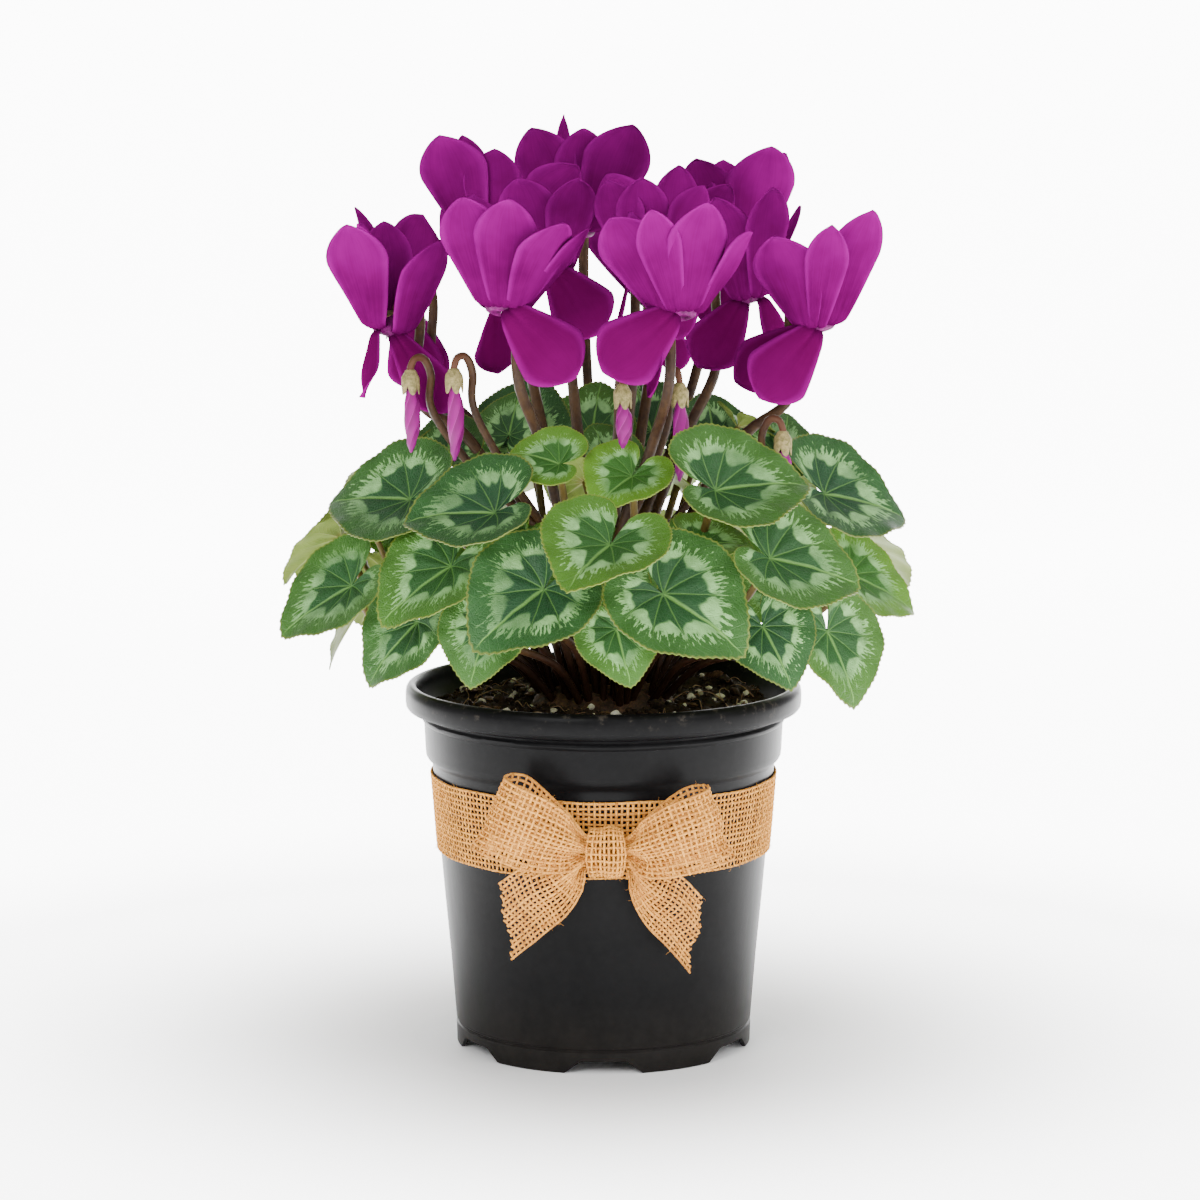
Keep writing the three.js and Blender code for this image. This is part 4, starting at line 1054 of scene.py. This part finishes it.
# Magenta skin: darker towards the throat, partly its own deeper colour and partly painted shade; painted
# shade on the petals that hang; paler at the rim, partly its own paler edge and partly a painted highlight;
# fine streaks run along it.
def makePetalSkin(look):
    sheet = Material("petalSkin", look["roughness"], specular=0)
    u, v = sheet.split(sheet.uv("UVMap"))[:2]
    place = sheet.objectPlace()
    side = sheet.math("ABSOLUTE", u * 2 - 1)
    streaks = sheet.noise(sheet.combine(u * 34, v * 1.6, 0), 1, 3, 0.6)
    broad = sheet.noise(place, 70, 3)
    mottle = (streaks * 0.3 + broad * 0.7).step(0.3, 0.7)
    deep = sheet.mix(mottle, *look["deep"])
    bright = sheet.mix(mottle, *look["bright"])
    # Deep low on the petal, bright higher up: partly its own colour, partly painted shade towards the
    # throat.
    colour = sheet.mix(v.step(0.15, 0.8), deep, bright)
    # Painted shade: petals that hang down face away from the light and are darkened.
    colour = sheet.mix(sheet.attribute("hanging") * 0.75, colour, look["hanging"])
    # Paler at the sides and tip: partly the petal's own paler edge, partly a painted highlight.
    rim = (side.step(0.7, 1.0) + v.step(0.84, 1.0)).clamped()
    colour = sheet.mix(rim * (broad * 0.8 + 0.05), colour, look["rim"])
    # Darkest at the very base: partly its own colour, partly painted shade in the throat.
    colour = sheet.mix(v.step(0.14, 0.0), colour, look["base"])
    sheet.dress(colour, streaks + sheet.noise(place, 1500, 2) * 0.25, look["relief"], look["depth"])
    thin = sheet.value("ShaderNodeBsdfTranslucent", {"Color": colour})
    shine = Field(sheet, sheet.tree.nodes["Principled BSDF"].outputs[0])
    both = sheet.value("ShaderNodeMixShader", {0: look["translucent"], 1: shine, 2: thin})
    sheet.feed(sheet.tree.nodes["Material Output"].inputs["Surface"], both)


# A bloom: its own petals with a copy of the nose and of the sepals.
def makeBloom(name, bloom, bases, draw):
    level, tipped = bloomFrames(bloom)
    parts = []
    for petal in bloom[3]:
        piece = makePetal(petal, bloom, draw)
        piece.data.transform(level)
        parts.append(piece)
    for base in bases:
        copy = newPiece(base.name, base.data.copy())
        copy.data.transform(tipped)
        parts.append(copy)
    return joinPieces(name, parts)


makePetalSkin(petalLook)
for name, colour, second, scale in smallPartsLook:
    mottledMaterial(name, colour, second, scale, 3, 0.4, 0.0003, 0.55, 0.15)
bloomBases = [makeNose(), makeSepals()]
draw = random.Random(5)
for i, bloom in enumerate(bloomShape["table"]):
    settle(makeBloom(f"cyclamenBloom{i + 1}", bloom, bloomBases, draw), "petal", f"bloom_{i + 1:02d}")
for base in bloomBases:
    bpy.data.objects.remove(base)
print("blooms made")


# buds
budShape = {
    "calyxLength": 7, "clearance": 0.3,
    # Shares of the length and radii in mm.
    "bud": [(0, 0), (0.06, 1.4), (0.3, 2.5), (0.58, 2.6), (0.85, 1.5), (0.97, 0.6), (1, 0)],
    "calyx": [(0, 1.1), (0.1, 1.8), (0.5, 2.85), (0.8, 2.85), (1, 2.7)],
    "hidden": 0.14,  # share of the bud that is inside its calyx
    "petals": 5, "swirl": 0.55, "ridge": 0.08,
    # Top of the calyx in mm, bearing and length of the bud in mm.
    "table": [
        ((-61, -38, 226), 214, 19), ((-47, -44, 227), 222, 22), ((6, -44, 222), 280, 13),
        ((24, -40, 222), 296, 24), ((57, -33, 206), 330, 13),
    ],
}
budLook = {
    # The edge colour is a painted highlight along each rolled petal's ridge.
    "skin": [(0.13, 0.0, 0.085), (0.2, 0.0, 0.135)], "edge": (0.3, 0.02, 0.22), "tip": (0.16, 0.0, 0.12),
    "roughness": 0.5, "specular": 0.2, "relief": 0.3, "depth": 0.0003,
}


def alongProfile(profile, share):
    for (lowShare, low), (highShare, high) in zip(profile, profile[1:]):
        if share <= highShare:
            part = (share - lowShare) / (highShare - lowShare)
            return low + (high - low) * (3 * part ** 2 - 2 * part ** 3)
    return profile[-1][1]


# Five rolled petals, each overlapping the next in a spiral.
def makeBud(name, bud):
    top, face, length = bud
    shape = budShape
    start = Vector(top) - Vector((0, 0, shape["calyxLength"] + shape["clearance"]))

    def place(u, v):
        turn = 2 * math.pi * u + math.radians(face)
        share = v * (1 + shape["hidden"]) - shape["hidden"]
        ridge = (shape["petals"] * (u + shape["swirl"] * v)) % 1
        radius = alongProfile(shape["bud"], v) * (1 + shape["ridge"] * (ridge ** 3 - 0.25))
        bend = 0.5 * math.sin(math.pi * v)
        x, y = polar(radius, turn)
        return (start.x + x + bend) * mm, (start.y + y) * mm, (start.z - share * length) * mm

    piece = closedGrid(name, 60, 36, place)
    smooth(piece, 50)
    return paint(piece, "budPetal")


def makeCalyx(bud):
    top = Vector(bud[0])

    def place(u, v):
        turn = 2 * math.pi * u
        lobe = abs(math.cos(2.5 * turn)) ** 0.7
        depth = budShape["calyxLength"] * v * (0.72 + 0.42 * lobe * v)
        x, y = polar(alongProfile(budShape["calyx"], v) * (1 + 0.05 * lobe * v), turn)
        return (top.x + x) * mm, (top.y + y) * mm, (top.z - depth + 0.4) * mm

    calyx = closedGrid("calyxCup", 60, 12, place)
    applyModifier(calyx, "SOLIDIFY", thickness=0.3 * mm, offset=-1)
    smooth(calyx, 60)
    return paint(calyx, "calyx")


def makeBudMaterial(look):
    sheet = Material("budPetal", look["roughness"], look["specular"])
    u, v = sheet.split(sheet.uv("UVMap"))[:2]
    swirl = (u + v * budShape["swirl"]) * budShape["petals"]
    fold = sheet.math("FRACT", swirl)
    colour = sheet.mix(fold.step(0.1, 0.95), *look["skin"])
    # Painted highlight: a paler line on the ridge at the edge of each rolled petal.
    colour = sheet.mix(fold.step(0.93, 1.0), colour, look["edge"])
    colour = sheet.mix(v.step(0.75, 1.0), colour, look["tip"])
    grain = sheet.noise(sheet.combine(swirl * 9, v * 4, 0), 1, 3)
    sheet.dress(colour, grain, look["relief"], look["depth"])


makeBudMaterial(budLook)
for i, bud in enumerate(budShape["table"]):
    settle(makeBud(f"rolledBud{i + 1}", bud), "petal", f"bud_{i + 1}")
settle(joinPieces("budCalyxes", [makeCalyx(bud) for bud in budShape["table"]]), "stem")
print("buds made")


# stems, which grow from the tuber
stemShape = {
    "sides": 10, "crownHeight": 158, "fanHeight": 200, "tuberTop": 121,
    # Points for each stretch, radius in mm and shares of it from the tuber up.
    "petiole": (9, 1.5, (0.95, 0.85, 0.85, 0.8)), "young": (9, 1.1, (1.15, 1, 0.9, 0.8)),
    "stalk": (7, 1.7, (1.1, 1.05, 1, 0.95, 0.85, 0.72)), "budStalk": (7, 1.3, (1.1, 1.05, 1, 1, 0.9, 0.8)),
    # Way out and way up in mm from a bud's top to the points of its hook.
    "budHook": ((-8.5, -14), (-7.6, -2), (-5, 3.4), (-1.6, 3.6), (0, 0.6), (0, -1.5)),
    # Radius and height in mm.
    "tuber": [
        (0, 99), (12, 99.6), (19, 102), (23.6, 106), (25, 110), (24, 113.6), (20.5, 117),
        (15, 119.6), (8, 120.8), (0, 121),
    ],
}
stalkLooks = {  # colours low and high on a stalk, and its mottling
    "petiole": [(0.015, 0.006, 0.002), (0.1, 0.07, 0.016), (0.04, 0.018, 0.005)],
    "flowerStalk": [(0.019, 0.007, 0.003), (0.08, 0.03, 0.016), (0.045, 0.021, 0.006)],
}
# Painted shade: low on the stalks, under the leaves, the colour turns darker.
stalkBaseShade = {"colour": (0.025, 0.009, 0.005), "share": 0.7, "from": 0.165, "to": 0.125}  # heights in m
tuberLook = (0.03, 0.014, 0.009), (0.12, 0.055, 0.03), 180


def bearingOf(point):
    return math.atan2(point[1], point[0])


def petioleRoute(leaf, i):
    normal = leafAxes(leaf)[0]
    joint = Vector(leaf[0])
    bearing = bearingOf(joint) + 0.25 * math.sin(7 * i)
    start = 18 - 5 * (joint.z - 145) / 60
    base = ringPoint(start, bearing, stemShape["tuberTop"] - 8)
    end = joint - normal * 0.1
    rise = (end - base).length
    low = base.lerp(end, 0.3) + Vector((0, 0, 0.1 * rise))
    return [base, low, end - normal * 0.28 * rise, end]


def stalkRoute(bloom, i):
    level, tipped = bloomFrames(bloom)

    def at(frame, x, z):
        return frame @ Vector((x * mm, 0, z * mm)) / mm

    hook = [at(level, -10.5, -22), at(level, -10.8, 3), at(level, -9.4, 9.6), at(level, -5.6, 11.6),
            at(tipped, 0, 9), at(tipped, 0, 6.2)]
    bearing = bearingOf(hook[0]) + 0.3 * math.sin(5 * i + 1)
    start = 3 + 9 * ((i * 0.618) % 1)
    low = ringPoint(0.34 * hook[0].xy.length, bearing, stemShape["crownHeight"])
    high = Vector((hook[0].x * 0.72, hook[0].y * 0.72, stemShape["fanHeight"]))
    return [ringPoint(start, bearing, stemShape["tuberTop"] - 7), low, high, *hook]


def budRoute(bud, i):
    top, face, _ = bud
    outward = ringPoint(1, math.radians(face))
    hook = [Vector(top) + outward * out + Vector((0, 0, rise)) for out, rise in stemShape["budHook"]]
    bearing = bearingOf(top) + 0.3 * math.sin(3 * i + 2)
    base = ringPoint(8, bearing, stemShape["tuberTop"] - 7)
    low = ringPoint(14, bearing, stemShape["crownHeight"])
    high = Vector((hook[0].x * 0.72, hook[0].y * 0.72, stemShape["fanHeight"] - 10))
    return [base, low, high, *hook]


def tapered(route, steps, radius, shares):
    points = smoothRoute(route, steps) * mm
    places = np.linspace(0, 1, len(points))
    wobble = 1 + 0.04 * np.sin(places * 21 + route[-1].x)
    radii = radius * mm * np.interp(places, np.linspace(0, 1, len(shares)), shares) * wobble
    return points, radii


# One tapered stalk for each thing that stands on one.
def stalksFor(things, route, kind, first=0):
    return [tapered(route(thing, i), *stemShape[kind]) for i, thing in enumerate(things, first)]


def makeTuber():
    tuber = spunProfile("tuber", [(r * mm, z * mm) for r, z in stemShape["tuber"]], 72)
    applyModifier(tuber, "SUBSURF", levels=2, render_levels=2)
    for vertex in tuber.data.vertices:
        vertex.co *= 1 + 0.01 * noise.fractal(vertex.co * 130, 0.8, 2.1, 4)
    smooth(tuber)
    return paint(tuber, "tuberSkin")


def makeStalkMaterial(name, low, high, second):
    sheet = Material(name, specular=0.18)
    along = sheet.split(sheet.uv("UVMap"))[0]
    height = sheet.split(sheet.objectPlace())[2]
    tone = unevenTone(sheet, low, second, 120, 5)
    colour = sheet.mix(along.step(0.35, 1.0), tone["Colour"], high)
    # Painted shade below the leaves, near the soil.
    shadeUnderLeaves = height.step(stalkBaseShade["from"], stalkBaseShade["to"]) * stalkBaseShade["share"]
    sheet.dress(sheet.mix(shadeUnderLeaves, colour, stalkBaseShade["colour"]), tone["Height"], 0.4, 0.0004)


for name, colours in stalkLooks.items():
    makeStalkMaterial(name, *colours)
mottledMaterial("tuberSkin", *tuberLook, 5, 0.8, 0.001, 0.8)
petioles = stalksFor(leafShape["table"], petioleRoute, "petiole")
petioles += stalksFor(leafShape["young"], petioleRoute, "young", 3)
stalks = stalksFor(bloomShape["table"], stalkRoute, "stalk")
stalks += stalksFor(budShape["table"], budRoute, "budStalk")
leafStalks = strandPiece("leafStalks", petioles, stemShape["sides"])
flowerStalks = strandPiece("flowerStalks", stalks, stemShape["sides"])
settle(paint(leafStalks, "petiole"), "stem", "stems")
settle(paint(flowerStalks, "flowerStalk"), "stem", "stems")
settle(makeTuber(), "stem", "stems")
print("stems made")


# ribbon of woven burlap: a band round the pot, a bow and its knot
ribbonShape = {
    "width": 25, "pitch": 1.7, "yarnWidth": 0.88, "yarnThickness": 0.46, "swing": 0.24,
    "yarns": 15, "knotYarns": 10, "spread": 0.985, "pleat": 0.62, "seed": 23,
    "middle": 78, "bandRadius": 54.9, "overlap": 20,
    # Middle of the strip in mm and the half width from it to its upper edge.
    "leftLoop": [
        ((-3, -59.7, 75.8), (0, 0, 5)), ((-7, -59.7, 76.6), (0.6, 0, 5)),
        ((-15, -60.1, 81), (2, 0, 9.4)), ((-27, -57.6, 87), (4, 0.5, 11.6)),
        ((-34, -59.6, 88.8), (5, 0, 11.6)), ((-36, -63.6, 88.6), (5.2, -0.5, 11.4)),
        ((-32, -68.6, 87), (5, -1, 11.4)), ((-22, -70.6, 83), (4, -1, 11)),
        ((-12, -67.6, 79), (2, -0.6, 8.6)), ((-7, -61.9, 76.6), (0.6, 0, 5)),
        ((-3, -61.5, 75.8), (0, 0, 4.6)),
    ],
    "rightLoop": [
        ((5, -59.7, 75.4), (0, 0, 5)), ((9, -59.7, 76), (-0.6, 0, 5)),
        ((17, -60.1, 79), (-2, 0, 9.4)), ((28, -57.1, 83.5), (-3, 0.5, 11.6)),
        ((35, -58.6, 85.4), (-3.4, 0, 11.6)), ((37, -62.6, 85.4), (-3.6, -0.5, 11.4)),
        ((33, -67.6, 84), (-3.4, -1, 11.4)), ((23, -70.1, 81), (-3, -1, 11)),
        ((13, -67.6, 77.5), (-2, -0.6, 8.6)), ((9, -61.9, 76), (-0.6, 0, 5)),
        ((5, -61.5, 75.4), (0, 0, 4.6)),
    ],
    "leftTail": [
        ((-3, -60.7, 73.6), (-0.2, 0, 2)), ((-6.6, -61.1, 72.4), (-0.6, 0, 2.6)),
        ((-10, -63.9, 69.4), (-2.6, 0, 6.4)), ((-15, -64.1, 65), (-3.4, 0, 9)),
        ((-22, -62.1, 60.4), (-3.2, 0, 10.8)), ((-31.4, -56.6, 51.8), (-2.1, 0, 12.4)),
    ],
    "rightTail": [
        ((5, -60.7, 73.4), (0.2, 0, 2)), ((8.6, -61.1, 72), (0.6, 0, 2.6)),
        ((11.6, -63.9, 67), (2.2, 0, 6)), ((16, -64.1, 62), (3, 0, 8.6)),
        ((23, -61.7, 56), (3, 0, 10.6)), ((29.7, -56.6, 47.2), (2.4, 0, 12.2)),
    ],
    "knotMiddle": (1, -60.5, 75.5), "knotWidth": 13, "knotHalfHeight": 7.75, "knotHalfDepth": 3.95,
    "knotLength": 38.5,
    "bandFuzz": 420, "loopFuzz": 90, "tailFuzz": 60, "knotFuzz": 50,
}
burlapLook = {
    "yarn": [(0.36, 0.13, 0.02), (0.8, 0.37, 0.07)], "light": (0.84, 0.45, 0.12), "dark": (0.24, 0.11, 0.04),
    "roughness": 0.9, "specular": 0.15, "relief": 0.7, "depth": 0.0003,
}
bandGirth = 2 * math.pi * ribbonShape["bandRadius"]


def unit(vectors):
    return vectors / np.maximum(np.linalg.norm(vectors, axis=-1, keepdims=True), 1e-9)


# Flattened tubes along polylines. Each yarn has points, normals, a width, a thickness and a tone.
def yarnMesh(name, yarns):
    points, faces, places = [], [], []
    count = 0
    corner = np.arange(4)[None, :]
    after = (corner + 1) % 4
    for line, normals, width, thickness, tone in yarns:
        along = unit(np.gradient(line, axis=0))
        side = unit(np.cross(normals, along))
        up = np.cross(along, side)
        half, rise = np.reshape(width, (-1, 1)) / 2, np.reshape(thickness, (-1, 1)) / 2
        ring = [line + side * half, line + up * rise, line - side * half, line - up * rise]
        points.append(np.stack(ring, axis=1).reshape(-1, 3))
        first = np.arange(len(line) - 1)[:, None] * 4 + count
        around = [first + corner, first + after, first + 4 + after, first + 4 + corner]
        faces.append(np.stack(around, axis=2).reshape(-1, 4))
        last = count + 4 * (len(line) - 1)
        faces.append(count + np.array([[3, 2, 1, 0]]))
        faces.append(last + np.array([[0, 1, 2, 3]]))
        run = np.concatenate([[0], np.cumsum(np.linalg.norm(np.diff(line, axis=0), axis=1))])
        places.append(np.stack([np.repeat(run, 4) * 0.1, np.full(4 * len(line), tone)], axis=1))
        count += 4 * len(line)
    faces = np.concatenate(faces)
    mesh = bpy.data.meshes.new(name)
    mesh.from_pydata((np.concatenate(points) * mm).tolist(), [], faces.tolist())
    layer = mesh.uv_layers.new(name="yarn")
    layer.data.foreach_set("uv", np.concatenate(places)[faces.ravel()].ravel())
    piece = paint(newPiece(name, mesh), "burlapYarn")
    faceOutwards(piece)
    smooth(piece)
    return piece


def noLean(along):
    return 0 * along


def noLimit(across):
    return 1e9 + 0 * np.asarray(across, float)


# Plain weave on surface(along, across), in mm: each yarn goes over one crossing yarn and under the next.
# It leans by lean(along) from one edge to the other and ends where along passes limit(across).
def weave(surface, length, columns, limit, draw, lean=noLean):
    pitch, swing, spread = (ribbonShape[name] for name in ("pitch", "swing", "spread"))
    yarnWidth, thickness = ribbonShape["yarnWidth"], ribbonShape["yarnThickness"]
    rows = int(length / pitch)
    across = np.linspace(-spread, spread, columns)
    half = np.arange(2 * rows + 1)
    yarns = []

    def line(along, across, offsets):
        points, normals = surface(along - lean(along) * across, across)
        return points + normals * offsets[:, None], normals

    for j in range(columns):
        turn = (half // 2 + j) % 2
        offsets = np.where(half % 2 == 1, np.where(turn == 0, swing, -swing), 0)
        along = half * length / (2 * rows)
        shift = across[j] + 0.012 * np.sin(along * 0.23 + 5 * draw.random())
        wide = 1 + 0.1 * np.sin(along * draw.uniform(0.2, 0.5) + 6 * draw.random())
        keep = along - lean(along) * shift <= limit(shift)
        points, normals = line(along[keep], shift[keep], offsets[keep])
        if len(points) > 2:
            width = yarnWidth * wide[keep] * draw.uniform(0.85, 1.1)
            yarns.append((points, normals, width, thickness, draw.random()))
    edges = [-1.012, 1.012]
    crossings = np.sort(np.concatenate([across, (across[1:] + across[:-1]) / 2, edges]))
    which = np.round((crossings + spread) / (2 * spread) * (columns - 1)).astype(int)
    onYarn = np.min(np.abs(crossings[:, None] - across[None, :]), axis=1) < 1e-6
    for i in range(rows):
        along = (i + 0.5) * length / rows + 0.07 * draw.uniform(-1, 1)
        spots = along + 0.07 * np.sin(crossings * draw.uniform(2, 4) + 6 * draw.random())
        offsets = np.where(onYarn, np.where((which + i) % 2 == 0, -swing, swing), 0)
        keep = spots - lean(spots) * crossings <= limit(crossings)
        if keep.sum() < 3:
            continue
        points, normals = line(spots[keep], crossings[keep], offsets[keep])
        width = np.full(len(points), yarnWidth * draw.uniform(0.8, 1.12))
        yarns.append((points, normals, width, thickness, draw.random()))
    return yarns


# Thin loose fibres that stand off the yarns, from spots on the surface or on its edges.
def fuzz(surface, length, count, limit, draw, lean=noLean):
    fibres = []
    steps = 4
    for _ in range(count):
        edge = draw.random() < 0.45
        across = draw.choice((-1, 1)) * draw.uniform(0.95, 1) if edge else draw.uniform(-1, 1)
        along = draw.uniform(0.02, 0.98) * length
        along -= float(lean(np.array([along]))[0]) * across
        if along > limit(across) - 0.5:
            continue
        start, normal = (value[0] for value in surface(np.array([along]), np.array([across])))
        heading = np.array([draw.gauss(0, 1) for _ in range(3)])
        heading = unit(heading + normal * draw.uniform(0, 1.2))
        size = draw.uniform(0.8, 2.6)
        line = [start + normal * 0.3]
        for _ in range(steps):
            line.append(line[-1] + heading * size / steps)
            heading = unit(heading + 0.5 * np.array([draw.gauss(0, 1) for _ in range(3)]))
        normals = np.repeat(normal[None, :], steps + 1, axis=0)
        thick = np.linspace(0.09, 0.04, steps + 1)
        fibres.append((np.array(line), normals, thick, thick, draw.random()))
    return fibres


# Once round the pot from the back, with the end lying over the start.
def bandSurface(along, across):
    radius = ribbonShape["bandRadius"]
    height = ribbonShape["middle"] + across * ribbonShape["width"] / 2
    lift = 0.78 + 1.15 * np.clip((along - bandGirth + 1) / 4, 0, 1)
    ripple = 0.12 * np.sin(along * 0.11 + 1.4 * across)
    reach = 48.5 + (height - 7.6) / 86.4 * 7.8 + lift + ripple
    turn = math.pi / 2 + along / radius
    points = np.stack([reach * np.cos(turn), reach * np.sin(turn), height], axis=1)
    normals = np.stack([np.cos(turn), np.sin(turn), np.full(len(turn), -0.09)], axis=1)
    return points, unit(normals)


# Strip along stations, gathered into pleats where it is drawn narrower than its width.
def stripSurface(stations, facing):
    route = smoothRoute([(*middle, *half) for middle, half in stations], 24)
    middles, halves = route[:, :3], route[:, 3:]
    travel = np.concatenate([[0], np.cumsum(np.linalg.norm(np.diff(middles, axis=0), axis=1))])
    tangents = unit(np.gradient(middles, axis=0))
    lean = np.sum(halves * tangents, axis=1)
    square = halves - tangents * lean[:, None]
    normals = unit(np.cross(tangents, square)) * facing

    def at(table, along):
        return np.stack([np.interp(along, travel, table[:, k]) for k in range(3)], axis=1)

    def surface(along, across):
        centre, half, normal = at(middles, along), at(halves, along), unit(at(normals, along))
        width = 2 * np.linalg.norm(at(square, along), axis=1)
        ratio = np.maximum(ribbonShape["width"] / np.maximum(width, 3), 1)
        depth = ribbonShape["pleat"] * np.sqrt(4 * (ratio - 1)) * width / (3 * math.pi)
        waves = np.sin(3 * math.pi * across / 2 + 0.7) * depth
        curl = 0.35 * np.sin(along * 0.13 + 2.6 * across)
        # Past the end the strip runs straight on.
        over = np.maximum(along - travel[-1], 0)[:, None] + np.minimum(along, 0)[:, None]
        points = centre + half * across[:, None] + at(tangents, along) * over
        return points + normal * (waves + curl)[:, None], normal

    def leanAt(along):
        return np.interp(along, travel, lean)

    return surface, travel[-1], leanAt


def makeBurlap(look):
    sheet = Material("burlapYarn", look["roughness"], look["specular"])
    run, tone = sheet.split(sheet.uv("yarn"))[:2]
    slub = sheet.noise(sheet.combine(run * 2.5, tone * 60, 0), 1, 3, 0.6)
    fibre = sheet.noise(sheet.objectPlace(), 2600, 4, 0.7)
    colour = sheet.mix((tone * 0.22 + slub * 0.6).step(0.12, 0.68), *look["yarn"])
    colour = sheet.mix(fibre.step(0.45, 0.7) * 0.3, colour, look["light"])
    colour = sheet.mix(fibre.step(0.42, 0.25) * 0.45, colour, look["dark"])
    sheet.dress(colour, fibre, look["relief"], look["depth"])


# Once round the middle of the bow, drawn in at its waist.
def knotSurface(along, across):
    shape = ribbonShape
    turn = along / shape["knotLength"] * 2 * math.pi + math.pi / 2
    depth, height = shape["knotHalfDepth"], shape["knotHalfHeight"]
    waist = 1 - 0.2 * np.sin(turn) ** 2
    pleats = 0.4 * np.sin(across * 4.2 + 0.5 * np.sin(turn))
    dent = 0.5 * np.cos(across * 1.5) - 0.3
    normals = unit(np.stack([0.25 * across, np.cos(turn) / depth, np.sin(turn) / height], axis=1))
    aside = across * shape["knotWidth"] / 2 * waist
    points = np.stack([aside, depth * np.cos(turn), height * np.sin(turn)], axis=1)
    return points + normals * (pleats + dent)[:, None] + np.array(shape["knotMiddle"]), normals


makeBurlap(burlapLook)
draw = random.Random(ribbonShape["seed"])
count = ribbonShape["yarns"]
bandLength = bandGirth + ribbonShape["overlap"]
yarns = weave(bandSurface, bandLength, count, noLimit, draw)
yarns += fuzz(bandSurface, bandLength, ribbonShape["bandFuzz"], noLimit, draw)
band = yarnMesh("burlapBand", yarns)
settle(band, "burlap", "ribbon_band")
bandLength * mm
print("band made", len(band.data.polygons))

yarns, stripLength = [], 0
for name, facing in (("leftLoop", 1), ("rightLoop", -1)):
    surface, length, lean = stripSurface(ribbonShape[name], facing)
    yarns += weave(surface, length, count, noLimit, draw, lean)
    yarns += fuzz(surface, length, ribbonShape["loopFuzz"], noLimit, draw, lean)
    stripLength += length
for name, facing in (("leftTail", -1), ("rightTail", 1)):
    surface, length, lean = stripSurface(ribbonShape[name], facing)
    reach = length + abs(float(lean(length))) + 1

    def cutOff(across, length=length):
        return length + 0 * np.asarray(across, float)

    yarns += weave(surface, reach, count, cutOff, draw, lean)
    yarns += fuzz(surface, length, ribbonShape["tailFuzz"], cutOff, draw, lean)
    stripLength += length
bow = yarnMesh("burlapBow", yarns)
settle(bow, "burlap", "bow")
stripLength * mm
print("bow made", len(bow.data.polygons), stripLength)

knotLength = ribbonShape["knotLength"]
yarns = weave(knotSurface, knotLength, ribbonShape["knotYarns"], noLimit, draw)
yarns += fuzz(knotSurface, knotLength, ribbonShape["knotFuzz"], noLimit, draw)
knot = yarnMesh("burlapKnot", yarns)
settle(knot, "burlap", "bow_knot")
knotLength * mm
print("knot made", len(knot.data.polygons))


# floor that runs up into a wall, both glowing white away from the pot
floorShape = {
    "width": 16, "front": 8, "length": 12, "bendFrom": 1.2, "bend": 0.8,  # in metres
    "columns": 4, "rows": 240,
    "colour": (0.9, 0.9, 0.9), "roughness": 0.7, "specular": 0.2, "glow": 9, "frontGlow": 6,
    # Between which places in metres each glow sets in: in depth, height and width, and out from the pot.
    "depths": (-0.5, -0.3), "heights": (0.9, 0.45), "widths": (1.1, 0.6), "outwards": (0.05, 0.4),
    "frontOutwards": (0.05, 0.25), "frontInwards": (1.1, 0.7),
}


def makeFloor(shape):
    def place(u, v):
        run = v * shape["length"] - shape["front"]
        turn = min(1, max(0, (run - shape["bendFrom"]) / shape["bend"])) * math.pi / 2
        radius = shape["bend"] * 2 / math.pi
        depth = min(run, shape["bendFrom"]) + radius * math.sin(turn)
        height = radius * (1 - math.cos(turn)) + max(0, run - shape["bendFrom"] - shape["bend"])
        return (u - 0.5) * shape["width"], depth, height

    floor = shapedGrid("studioFloor", shape["columns"], shape["rows"], place)
    smooth(floor)
    sheet = Material("floorTone", shape["roughness"], shape["specular"])
    place = sheet.objectPlace()
    x, y, z = sheet.split(place)
    reach = sheet.value("ShaderNodeVectorMath", {0: place}, "Value", operation="LENGTH")
    window = y.step(*shape["depths"]) * z.step(*shape["heights"])
    window = window * sheet.math("ABSOLUTE", x).step(*shape["widths"])
    behind = reach.step(*shape["outwards"]) * window * shape["glow"]
    front = reach.step(*shape["frontOutwards"]) * reach.step(*shape["frontInwards"]) * shape["frontGlow"]
    sheet.feed(sheet.shader["Base Color"], shape["colour"])
    sheet.feed(sheet.shader["Emission Color"], (1, 1, 1))
    sheet.feed(sheet.shader["Emission Strength"], sheet.math("MAXIMUM", behind, front))
    paint(floor, "floorTone")


makeFloor(floorShape)
